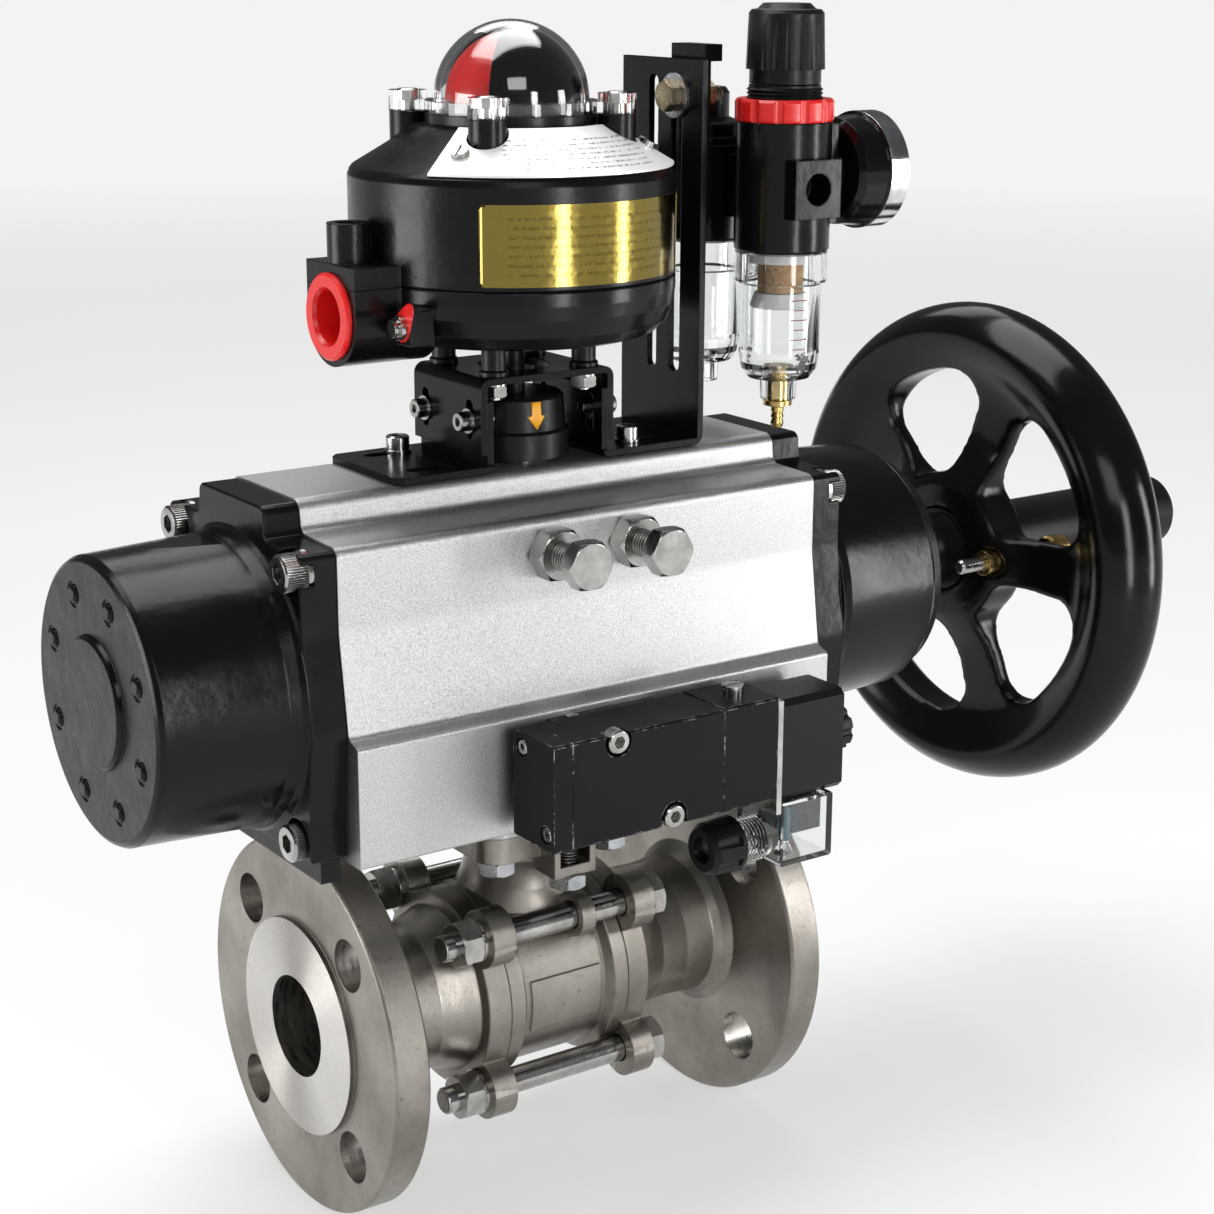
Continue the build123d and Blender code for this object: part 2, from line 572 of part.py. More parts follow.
def switch_base():
    shape = turned_z([(0, BOX_BOTTOM), (46, BOX_BOTTOM), (51, BOX_BOTTOM + 1.5), (55, BOX_BOTTOM + 5.5),
                      (57.3, BOX_BOTTOM + 11.5), (BOX_R, BOX_JOINT - 5), (BOX_R, BOX_JOINT - 0.6), (BOX_R - 0.6, BOX_JOINT),
                      (0, BOX_JOINT)])
    # conduit arm on the inlet side
    arm = cyl_x(17.2, -73.5, -40, 0, 258) + block(-73.5, -40, -16.8, 16.8, 258, BOX_JOINT)
    arm = arm & block(-80, 0, -30, 30, 200, BOX_JOINT)
    shape += arm
    shape += block(-59, -50, -29, -18, 250, 262)
    shape -= turned_z([(0, BOX_BOTTOM + 4), (46, BOX_BOTTOM + 4), (52, BOX_BOTTOM + 9), (54.4, BOX_JOINT - 3),
                       (54.4, BOX_JOINT + 1), (0, BOX_JOINT + 1)])
    shape -= cyl_x(13.1, -80, -48, 0, 258)
    shape -= cyl_z(4.08, BOX_BOTTOM - 1, BOX_BOTTOM + 10)
    for x, y in POSTS:
        shape -= cyl_z(2.05, BOX_BOTTOM - 1, BOX_BOTTOM + 5, x, y)
    return shape


def switch_cover():
    shape = turned_z([(0, BOX_JOINT), (BOX_R - 0.6, BOX_JOINT), (BOX_R, BOX_JOINT + 0.6), (BOX_R, BOX_SHOULDER - 2), (BOX_R - 0.8, BOX_SHOULDER),
                      (56.2, BOX_SHOULDER + 1.2), (34, BOX_TOP - 0.5), (32, BOX_TOP), (30.5, BOX_TOP + 0.5),
                      (30.5, DOME_Z), (0, DOME_Z)])
    shape += block(-73.5, -45, -16.8, 16.8, BOX_JOINT, BOX_JOINT + 7.5)
    shape += cyl_z(7.4, BOX_JOINT, BOX_JOINT + 21, -66, 0)
    for x, y in box_ears():
        shape += cyl_z(6.6, BOX_SHOULDER - 2, DOME_Z, x, y)
    shape -= cyl_z(4.4, BOX_JOINT + 12, BOX_JOINT + 22, -66, 0) + cyl_x(13.1, -80, -56, 0, 258)
    shape -= turned_z([(0, BOX_JOINT - 1), (54.2, BOX_JOINT - 1), (54.2, BOX_SHOULDER - 4), (33, BOX_TOP - 5),
                       (0, BOX_TOP - 5)])
    shape -= cyl_z(25.5, BOX_TOP - 6, DOME_Z + 1)
    for x, y in box_ears():
        shape -= cyl_z(2.05, DOME_Z - 10, DOME_Z + 1, x, y)
    return shape


def box_posts():
    pieces = []
    for x, y in POSTS:
        post = turned_z([(0, BRIDGE_TOP), (5.2, BRIDGE_TOP), (5.2, BRIDGE_TOP + 1.5), (4.4, BRIDGE_TOP + 2.2),
                         (4.4, BOX_BOTTOM - 2.2), (5.2, BOX_BOTTOM - 1.5), (5.2, BOX_BOTTOM), (0, BOX_BOTTOM)])
        post += cyl_z(2.5, BRIDGE_TOP - 8.5, BRIDGE_TOP)
        pieces.append(Pos(x, y, 0) * post)
        pieces.append(Pos(x, y, BRIDGE_TOP - SHEET - 5.0) * hex_nut(5.0, 8.5, 4.2))
        pieces.append(Pos(x, y, BRIDGE_TOP - SHEET - 0.8) * washer(5.3, 10.0, 0.8))
    return merge(pieces)


def dome():
    outer = Pos(0, 0, DOME_Z + 4) * (Sphere(DOME_R) & block(-40, 40, -40, 40, 0, 40))
    shell = outer + cyl_z(30.5, DOME_Z, DOME_Z + 4)
    for x, y in box_ears():
        shell += cyl_z(6.8, DOME_Z, DOME_Z + 7, x, y)
        shell += Rot(0, 0, math.degrees(math.atan2(y, x))) * block(27, 36, -5.5, 5.5, DOME_Z, DOME_Z + 4)
    shell -= Pos(0, 0, DOME_Z + 4) * (Sphere(DOME_R - 2) & block(-40, 40, -40, 40, 0, 40))
    shell -= cyl_z(DOME_R - 2, DOME_Z - 1, DOME_Z + 4.5)
    for x, y in box_ears():
        shell -= cyl_z(2.3, DOME_Z - 1, DOME_Z + 9, x, y) + cyl_z(4.0, DOME_Z + 3.5, DOME_Z + 8, x, y)
    return shell


def quadrant_shell(outer_r, inner_r, quadrants):
    """Hollow hemisphere on the dome base kept only in the given quadrants (0 is +X +Y)."""
    shell = Sphere(outer_r) - Sphere(inner_r)
    keep = None
    for q in quadrants:
        corner = Rot(0, 0, 90 * q) * block(0.25, 40, 0.25, 40, 0, 40)
        keep = corner if keep is None else keep + corner
    return Pos(0, 0, DOME_Z + 4) * Rot(0, 0, MASK_TURN) * (shell & keep)


def dome_mask():
    return quadrant_shell(DOME_R - 2.2, DOME_R - 3.4, (0, 2))


def rotor():
    shell = Pos(0, 0, DOME_Z + 4) * ((Sphere(DOME_R - 4.2) - Sphere(DOME_R - 5.6)) & block(-40, 40, -40, 40, 0, 40))
    shell += cyl_z(DOME_R - 4.2, DOME_Z + 0.5, DOME_Z + 4) - cyl_z(3.0, DOME_Z, DOME_Z + 5)
    return shell


def cam_shaft():
    z0 = BODY_TOP + 3.2
    shaft = cyl_z(4.0, BODY_TOP + 7.3, DOME_Z + 0.4) + block(-1.9, 1.9, -9, 9, z0, BODY_TOP + 7.3)
    shaft += cyl_z(2.9, DOME_Z, DOME_Z + 4)
    for z, turn in ((276, 0), (286, 90)):
        cam = cyl_z(11.0, z, z + 5) + Rot(0, 0, turn) * block(0, 13.5, -5, 5, z, z + 5)
        shaft += cam
    return shaft


def microswitches():
    pieces = []
    for z in (275, 285):
        pieces.append(block(18, 28, -14, 14, z, z + 7))
    pieces.append(block(18, 28, -14, 14, BOX_BOTTOM + 6, 274.5))
    pieces.append(block(-34, -20, -22, 22, BOX_BOTTOM + 6, 268))
    return merge(pieces)


def nameplate():
    """Curved metal plate on the sloping top of the cover, solenoid side."""
    ring = turned_z([(57.0, BOX_SHOULDER + 1.2), (57.0, BOX_SHOULDER + 2.0), (34.0, BOX_TOP + 0.6),
                     (34.0, BOX_TOP - 0.2)])
    sector = Pos(0, 0, 300) * extrude(make_face(Polyline((0, 4), (-72, -40), (-72, -90), (72, -90), (72, -40),
                                                         close=True)), 30)
    plate = ring & sector
    for x, y in box_ears():
        plate -= cyl_z(7.2, 295, 330, x, y)
    return plate - turned_z([(0, BOX_JOINT), (BOX_R, BOX_JOINT), (BOX_R, BOX_SHOULDER - 2),
                             (BOX_R - 0.8, BOX_SHOULDER), (56.2, BOX_SHOULDER + 1.2), (34, BOX_TOP - 0.5), (0, BOX_TOP)])


def conduit_plug():
    return turned_x([(-75.5, 10.2), (-75.5, 14.2), (-74.7, 15.0), (-73.5, 15.0), (-73.5, 13.0), (-60, 13.0),
                     (-60, 0), (-62, 0), (-62, 9.0), (-74, 9.4)], 0, 258)


def box_screws():
    pieces = []
    for x, y in box_ears():
        pieces.append(Pos(x, y, DOME_Z + 3.5) * socket_screw(4.0, 7.4, 4.0, 3.0, 12.0))
    for x in (-38.0, 38.0):
        y = -27.5
        slope = 13.6 / 23.0
        z = BOX_SHOULDER + 2.02 + (57.0 - math.hypot(x, y)) * slope
        lean = Rot(0, 0, math.degrees(math.atan2(y, x))) * Rot(0, math.degrees(math.atan(slope)), 0)
        pieces.append(Pos(x, y, z) * lean * (cyl_z(3.2, 0, 1.8) - block(-4, 4, -0.4, 0.4, 1.1, 2)))
    pieces.append(cyl_x(4.2, -61.5, -59.1, -23.5, 256) + cyl_x(3.0, -63.5, -61, -23.5, 256))
    return merge(pieces)


# ---------------------------------------------------------------- air service unit

def frl_bracket():
    y0, y1 = FRL_MID_Y - 10, FRL_MID_Y + 10
    strap = block(71.0, 74.0, y0, y1, PORT_Z - 14, 346)
    strap -= wall_slot(70, 76, UPRIGHT_SLOTS[1], 318.0, 334.0, 6.4)
    strap += block(71.0, 79.0, y0, y1, 340, 346)
    strap += block(73.0, FRL_X + 15, FRL_MID_Y - 3, FRL_MID_Y + 3, PORT_Z - 13, PORT_Z + 13)
    return strap - cyl_y(6.0, FRL_MID_Y - 5, FRL_MID_Y + 5, FRL_X, PORT_Z)


def frl_barrel(y, z0, z1):
    """Round die-cast body with square port bosses on its -Y and +Y sides."""
    shape = cyl_z(17.6, z0, z1, FRL_X, y)
    shape = chamfer(shape.edges().group_by(Axis.Z)[0], 1.0)
    shape += block(FRL_X - 10.5, FRL_X + 10.5, y - 20.5, y + 20.5, PORT_Z - 10.5, PORT_Z + 10.5)
    return shape


def regulator_body():
    shape = frl_barrel(FILTER_Y, 272.5, 319.0)
    # gauge boss with its screwed cover plate
    shape += cyl_x(10.0, FRL_X, FRL_X + 21, FILTER_Y, PORT_Z + 4)
    shape += block(FRL_X + 15, FRL_X + 18.5, FILTER_Y - 9, FILTER_Y + 9, PORT_Z - 14, PORT_Z + 22)
    shape -= cyl_x(4.85, FRL_X + 16.9, FRL_X + 22, FILTER_Y, PORT_Z + 4)
    shape -= cyl_z(13.5, 260, 290, FRL_X, FILTER_Y) + cyl_z(14.6, 306, 330, FRL_X, FILTER_Y)
    shape -= cyl_z(5.0, 285, 310, FRL_X, FILTER_Y)
    shape -= cyl_y(5.75, FILTER_Y - 30, FILTER_Y - 9, FRL_X, PORT_Z)
    shape -= cyl_y(5.75, FILTER_Y + 9, FILTER_Y + 30, FRL_X, PORT_Z)
    return shape


def regulator_knob():
    x, y = FRL_X, FILTER_Y
    knob = turned_z([(0, 360.5), (8.5, 360.5), (10.5, 358.6), (12.6, 358.3), (13.6, 357.0), (14.3, 337.5),
                     (13.0, 337.5), (13.0, 332.5), (0, 332.5)], x, y)
    for k in range(20):
        angle = math.radians(18 * k)
        knob -= Pos(x + 14.6 * math.cos(angle), y + 14.6 * math.sin(angle), 347) * Cylinder(0.95, 18.5)
    return knob


def regulator_ring():
    x, y = FRL_X, FILTER_Y
    ring = turned_z([(13.3, 319.2), (17.4, 319.2), (18.0, 320.0), (18.0, 326.2), (17.2, 327.2), (13.3, 327.2)], x, y)
    for k in range(12):
        angle = math.radians(30 * k + 15)
        ring -= Pos(x + 19.4 * math.cos(angle), y + 19.4 * math.sin(angle), 323.5) * Cylinder(2.4, 9)
    thread = [(0, 306.2), (14.4, 306.2), (14.4, 318.8), (13.1, 319.2), (13.1, 327.4)]
    for k in range(3):
        z = 327.6 + 1.4 * k
        thread += [(13.9, z), (13.1, z + 0.7)]
    thread += [(13.1, 332.0), (0, 332.0)]
    return merge([ring, turned_z(thread, x, y)])


def bowl(y):
    x = FRL_X
    shape = turned_z([(13.2, 279), (13.2, 272.0), (16.9, 272.0), (16.9, 261.5), (15.0, 260.5), (14.9, 235),
                      (14.0, 229), (11.5, 225.6), (7.0, 224.4), (6.6, 217.5), (4.2, 217.5), (4.2, 227.2),
                      (9.5, 228.2), (12.0, 231.5), (12.7, 236), (12.8, 262), (12.0, 279)], x, y)
    for k in range(12):
        angle = math.radians(30 * k)
        rib = Pos(x + 15.6 * math.cos(angle), y + 15.6 * math.sin(angle), 266.8) * Rot(0, 0, 30 * k)
        shape += rib * Box(3.4, 1.6, 10.6)
    return shape


def bowls():
    return merge([bowl(FILTER_Y), bowl(LUBE_Y)])


def filter_element():
    x, y = FRL_X, FILTER_Y
    core = turned_z([(3.2, 257.5), (8.4, 257.5), (8.4, 280), (3.2, 280)], x, y)
    baffle = turned_z([(0, 254.0), (7.0, 254.0), (10.6, 251.8), (11.2, 252.6), (9.5, 257.2), (0, 257.2)], x, y)
    post = cyl_z(2.9, 257.4, 284, x, y)
    louvre = turned_z([(9.2, 268.5), (11.6, 268.5), (11.6, 278), (9.2, 278)], x, y)
    return merge([core, baffle, post, louvre])


def drain_valve():
    x, y = FRL_X, FILTER_Y
    points = [(0, 230.0), (5.6, 230.0), (5.6, 228.2), (3.9, 227.8), (3.9, 217.2), (5.4, 216.8), (5.4, 214.9),
              (2.4, 214.0), (2.4, 212.4), (1.9, 212.2), (2.5, 210.2), (1.9, 210.0), (2.5, 208.0), (2.0, 206.4),
              (0, 206.4)]
    return turned_z(points, x, y) - cyl_z(0.9, 200, 222, x, y)


def gauge_case():
    """Black case with its socket, the dial plate and the bright rim."""
    y, z = FILTER_Y, PORT_Z + 4
    x = FRL_X
    socket = cyl_x(4.8, x + 17, x + 27, y, z)
    can = turned_x([(x + 22, 0), (x + 22, 17), (x + 24, 19.5), (x + 33.6, 20.4), (x + 39.8, 20.4),
                    (x + 39.8, 19.0), (x + 26, 18.0), (x + 26, 0)], y, z)
    dial = cyl_x(18.9, x + 37.2, x + 38.0, y, z) - cyl_x(1.4, x + 36, x + 39, y, z)
    rim = turned_x([(x + 34, 20.5), (x + 34, 21.6), (x + 42.4, 21.6), (x + 43.4, 20.6), (x + 43.4, 18.8),
                    (x + 40, 18.4), (x + 40, 20.5)], y, z)
    return merge([socket + can, dial, rim])


def gauge_needle():
    y, z = FILTER_Y, PORT_Z + 4
    x0 = FRL_X + 38.6
    hub = cyl_x(2.0, x0, x0 + 1.2, y, z) + cyl_x(1.2, FRL_X + 35, x0 + 0.5, y, z)
    hand = Pos(x0 + 0.5, y, z) * Rot(-45, 0, 0) * block(-0.2, 0.2, -0.55, 0.55, -15.0, 5.0)
    return hub + hand


def lubricator_body():
    shape = frl_barrel(LUBE_Y, 272.5, 311.0)
    shape += turned_z([(0, 311), (14.5, 311), (14.5, 316), (9.5, 318), (9.5, 327), (8, 329), (0, 329)], FRL_X, LUBE_Y)
    shape -= cyl_z(13.5, 260, 290, FRL_X, LUBE_Y)
    shape -= cyl_y(5.75, LUBE_Y + 9, LUBE_Y + 30, FRL_X, PORT_Z)
    shape -= cyl_y(5.75, LUBE_Y - 30, LUBE_Y - 9, FRL_X, PORT_Z)
    return shape


# ---------------------------------------------------------------- pilot solenoid valve

def solenoid_body():
    shape = block(-35.0, 29.0, SOL_FRONT, SOL_BACK, SOL_Z0, SOL_Z1)
    shape = chamfer(shape.edges().filter_by(Axis.X), 0.7)
    shape += block(-26, 18, SOL_BACK, SOL_PAD, SOL_Z0 + 1, SOL_Z1 - 1)
    shape -= cyl_x(7.2, -36, 30, -78, NAMUR_Z)
    for x, z in namur_screw_places():
        shape -= cyl_y(5.4, SOL_FRONT - 1, SOL_FRONT + 4.2, x, z)
        shape -= cyl_y(2.7, SOL_FRONT - 1, SOL_PAD + 1, x, z)
    shape -= block(NAMUR_X + 12 - 5.4, NAMUR_X + 12 + 5.4, SOL_FRONT - 1, SOL_FRONT + 4.2, SOL_Z0 - 1, NAMUR_Z - 16)
    for x in (NAMUR_X - 12, NAMUR_X + 12):
        shape -= cyl_y(3.5, SOL_BACK - 4, SOL_PAD + 1, x, NAMUR_Z)
    return shape


def namur_screw_places():
    return [(NAMUR_X - 12, NAMUR_Z + 16), (NAMUR_X + 12, NAMUR_Z - 16)]


def solenoid_cover():
    shape = block(-42.8, -35.2, SOL_FRONT, SOL_BACK, SOL_Z0, SOL_Z1)
    shape = chamfer(shape.edges().filter_by(Axis.X), 0.7)
    for y, z in ((-70.5, SOL_Z1 - 5.5), (-85.4, SOL_Z0 + 5.5)):
        shape -= cyl_x(3.3, -44, -39.5, y, z) + cyl_x(1.55, -40, -37, y, z)
    return shape


def pilot_block():
    shape = block(29.2, 53.0, SOL_FRONT, SOL_BACK, SOL_Z0, SOL_Z1 + 0.4)
    shape = chamfer(shape.edges().filter_by(Axis.X), 0.7)
    shape -= cyl_z(4.08, SOL_Z1 - 10, SOL_Z1 + 2, 42, -78)
    shape -= cyl_x(7.2, 28, 34, -78, NAMUR_Z)
    return shape


def override_button():
    button = cyl_z(4.0, SOL_Z1 - 6.5, SOL_Z1 + 4.0, 42, -78)
    return button - block(37, 47, -78.6, -77.4, SOL_Z1 + 2.8, SOL_Z1 + 5)


def spool():
    points = [(-29, 0), (-29, 7.12), (-23, 7.12), (-23, 4), (-15, 4), (-15, 7.12), (-9, 7.12), (-9, 4), (0, 4),
              (0, 7.12), (6, 7.12), (6, 4), (14, 4), (14, 7.12), (22, 7.12), (22, 0)]
    return turned_x(points, -78, NAMUR_Z)


def coil():
    shape = block(55.6, 85.0, -89.0, -66.0, 82.5, 120.5)
    shape = chamfer(shape.edges().filter_by(Axis.X), 2.2)
    plate = block(53.2, 55.4, SOL_FRONT, -66.0, 78.5, 121.5)
    post = cyl_x(4.0, 85.0, 95.0, -78, 102)
    return merge([shape + post, plate])


def coil_nut():
    nut = cyl_x(8.6, 85.3, 92.0, -78, 102)
    for k in range(8):
        angle = math.radians(45 * k)
        nut -= cyl_x(1.8, 84, 93, -78 + 9.4 * math.cos(angle), 102 + 9.4 * math.sin(angle))
    return nut - cyl_x(4.1, 84, 93, -78, 102)


def connector():
    shape = block(56.0, 80.0, -90.0, -64.5, 57.5, 82.2)
    shape = chamfer(shape.edges().filter_by(Axis.Y), 0.8)
    shape += cyl_x(8.0, 43.2, 57, -77.5, 66)
    for k in range(7):
        shape += turned_x([(43.6 + 1.5 * k, 7.5), (44.3 + 1.5 * k, 8.7), (45.0 + 1.5 * k, 7.5)], -77.5, 66)
    shape -= block(58.0, 78.0, -88.2, -66.3, 59.3, 80.5)
    shape -= cyl_x(6.2, 42, 59, -77.5, 66)
    inner = block(63, 77, -86, -69, 68, 80)
    return merge([shape, inner])


def cord_nut():
    nut = turned_x([(29.5, 5.0), (29.5, 8.0), (31.5, 9.8), (42.8, 10.4), (42.8, 8.8), (34, 8.8), (34, 5.0)],
                   -77.5, 66)
    for k in range(7):
        angle = 2 * math.pi * k / 7
        nut -= cyl_x(3.0, 28, 41.2, -77.5 + 12.2 * math.cos(angle), 66 + 12.2 * math.sin(angle))
    return nut


def solenoid_screws():
    pieces = []
    for x, z in namur_screw_places():
        pieces.append(Pos(x, SOL_FRONT + 4.2, z) * facing("-y") * socket_screw(5.0, 8.5, 5.0, 4.0, 34.0))
    for y, z in ((-70.5, SOL_Z1 - 5.5), (-85.4, SOL_Z0 + 5.5)):
        pieces.append(Pos(-39.5, y, z) * facing("-x") * socket_screw(3.0, 5.5, 3.0, 2.5, 2.0))
    return merge(pieces)


# ---------------------------------------------------------------- handwheel override

def handwheel():
    x = WHEEL_X
    front = [(x, 17.2), (x, 27.5), (x + 3, 33), (x + 9, 45), (x + 11, 60), (x + 10, 72), (x + 5, 82), (x + 2, 90.5)]
    back = [(x + 33, 89), (x + 31, 80), (x + 25, 75), (x + 20, 70), (x + 18, 58), (x + 17, 40), (x + 22, 28),
            (x + 22, 17.2)]
    outline = Spline(*front[1:]) + ThreePointArc(front[-1], (x + 9.5, 98.6), (x + 20, RIM_R))
    outline += ThreePointArc((x + 20, RIM_R), (x + 29.6, 98.0), back[0]) + Spline(*back[:-1])
    outline += Polyline(back[-2], back[-1], front[0], front[1])
    wheel = Pos(0, 0, AXIS_Z) * revolve(make_face(outline), Axis.X)
    for k in range(SPOKES):
        wheel -= Pos(0, 0, AXIS_Z) * Rot(180 - 180 / SPOKES - 360 / SPOKES * k, 0, 0) * wheel_window()
    return wheel - cyl_x(5.2, x - 1, x + 30, LOCK_PIN_Y, AXIS_Z)


def wheel_window():
    """Cutter for one rounded opening between two spokes, centred on the +Y direction."""
    corners = []
    for radius, half_spoke in ((WINDOW_IN, 9.5), (WINDOW_OUT, 12.0)):
        reach = math.pi / SPOKES - math.asin(half_spoke / radius)
        corners.append([(radius * math.cos(t * reach), radius * math.sin(t * reach)) for t in (-1, 0, 1)])
    inner, outer = corners
    outline = ThreePointArc(*inner) + Line(inner[2], outer[2]) + ThreePointArc(*reversed(outer))
    face = make_face(outline + Line(outer[0], inner[0]))
    for points, radius in ((inner, 7.0), (outer, 13.0)):
        for point in (points[0], points[2]):
            corner = face.vertices().sort_by_distance(Vector(*point, 0))[0]
            face = fillet(corner, radius)
    return prism_x(face, WHEEL_X - 5, WHEEL_X + 40)


def wheel_bushes():
    drive_nut = cyl_x(15.0, CAP_END_X + 9, WHEEL_X + 21, 0, AXIS_Z) + cyl_x(17.0, WHEEL_X, WHEEL_X + 21, 0, AXIS_Z)
    drive_nut -= cyl_x(6.3, CAP_END_X, WHEEL_X + 40, 0, AXIS_Z)
    lock_bush = cyl_x(5.1, WHEEL_X - 2, WHEEL_X + 24, LOCK_PIN_Y, AXIS_Z)
    lock_bush -= cyl_x(3.1, WHEEL_X - 5, WHEEL_X + 30, LOCK_PIN_Y, AXIS_Z)
    return merge([drive_nut, lock_bush])


def jack_screw():
    x0 = 20.0
    return cyl_x(8.0, x0, x0 + 6, 0, AXIS_Z) + cyl_x(6.0, x0 + 6, 300, 0, AXIS_Z)


def stem_cover():
    tube = turned_x([(WHEEL_X + 22.2, 7.5), (WHEEL_X + 22.2, 15.2), (STEM_COVER_END - 2, 15.2), (STEM_COVER_END, 13.5),
                     (STEM_COVER_END, 0), (STEM_COVER_END - 3, 0), (STEM_COVER_END - 3, 12.4),
                     (WHEEL_X + 26, 12.4), (WHEEL_X + 26, 7.5)], 0, AXIS_Z)
    return tube


def lock_pin():
    x = WHEEL_X
    pin = turned_x([(x - 15, 0), (x - 15, 2.2), (x - 14, 3.0), (x + 34, 3.0), (x + 34, 5.5), (x + 35, 6.2),
                    (x + 43, 6.2), (x + 44, 5.4), (x + 44, 0)], LOCK_PIN_Y, AXIS_Z)
    return pin


NODES = {
    "valve_body": valve_body, "inlet_cap": lambda: end_cap(-1), "outlet_cap": lambda: end_cap(1), "ball": ball,
    "stem": stem, "seats": seats, "gland_nut": gland_nut, "tie_bolts": tie_bolts, "pad_bolts": pad_bolts,
    "actuator_body": actuator_body, "spring_cap": spring_cap, "drive_cap": drive_cap, "cap_screws": cap_screws,
    "left_piston": lambda: piston(-1), "right_piston": lambda: piston(1), "pinion": pinion,
    "left_spring": left_spring, "right_spring": right_spring, "stop_bolts": stop_bolts,
    "indicator_cup": indicator_cup, "short_foot": lambda: foot_plate(-1), "upright_foot": lambda: foot_plate(1),
    "bridge": bridge, "bracket_screws": bracket_screws, "switch_base": switch_base, "switch_cover": switch_cover,
    "box_posts": box_posts, "dome": dome, "dome_mask": dome_mask, "rotor": rotor, "cam_shaft": cam_shaft,
    "microswitches": microswitches, "nameplate": nameplate, "conduit_plug": conduit_plug,
    "box_screws": box_screws, "frl_bracket": frl_bracket, "regulator_body": regulator_body,
    "regulator_knob": regulator_knob, "regulator_ring": regulator_ring, "bowls": bowls,
    "filter_element": filter_element, "drain_valve": drain_valve, "gauge_case": gauge_case,
    "gauge_needle": gauge_needle, "lubricator_body": lubricator_body,
    "solenoid_body": solenoid_body, "solenoid_cover": solenoid_cover, "pilot_block": pilot_block,
    "override_button": override_button, "spool": spool, "coil": coil, "coil_nut": coil_nut,
    "connector": connector, "cord_nut": cord_nut, "solenoid_screws": solenoid_screws,
    "handwheel": handwheel, "wheel_bushes": wheel_bushes, "jack_screw": jack_screw, "stem_cover": stem_cover,
    "lock_pin": lock_pin,
}

os.makedirs("parts", exist_ok=True)
for node, make in NODES.items():
    print(node, flush=True)
    export_step(Pos(HALF_FACE_TO_FACE, 0, 0) * make(), f"parts/{node}.step")
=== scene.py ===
import math

import bmesh
import bpy
from mathutils import Matrix, Vector


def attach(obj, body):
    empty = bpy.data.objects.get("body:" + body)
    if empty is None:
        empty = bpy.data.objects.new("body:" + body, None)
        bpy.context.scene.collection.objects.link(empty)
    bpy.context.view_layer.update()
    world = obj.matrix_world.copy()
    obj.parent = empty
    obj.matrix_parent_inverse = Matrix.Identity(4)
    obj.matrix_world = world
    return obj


# Looks for the pneumatically actuated ball valve.  Metres, in the row frame of the CAD model:
# the origin is the centre of the inlet raised face, +X runs along the pipe, +Z up the stem.

STEM_X = 0.096                  # stem axis
FLOOR_Z = -0.070                # the flanges stand on the floor
FILTER = (0.193, -0.0315)       # filter axis
LUBRICATOR = (0.193, 0.0165)
GAUGE_Z = 0.300
BOX_R = 0.058                   # radius of the switch box
HOLE_AT = 0.03712               # flange bolt holes sit at plus and minus this in Y and Z
TIE_AT = 0.0303                 # tie bolts, the same way
CAP_SCREW_Y = 0.042             # end cap screws sit at plus and minus this in Y,
CAP_SCREW_Z = (0.0895, 0.183)   # at these two heights

CAMERA_AT = (-0.356353, -0.709031, 0.379492)
CAMERA_YAW = 0.608              # turn of the view direction from +Y towards +X
CAMERA_PITCH = 0.276            # angle below the horizon
CAMERA_ROLL = 0.004
CAMERA_LENS = 69.784            # mm on a 36 mm sensor
CAMERA_SHIFT = (0.0008, 0.0053)

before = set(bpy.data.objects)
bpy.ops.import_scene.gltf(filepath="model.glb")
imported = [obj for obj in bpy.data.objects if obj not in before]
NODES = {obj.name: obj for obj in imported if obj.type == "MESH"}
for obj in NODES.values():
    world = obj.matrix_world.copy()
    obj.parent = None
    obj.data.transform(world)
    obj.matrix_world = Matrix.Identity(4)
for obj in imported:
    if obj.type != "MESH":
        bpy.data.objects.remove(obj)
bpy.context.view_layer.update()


# ---------------------------------------------------------------- node materials

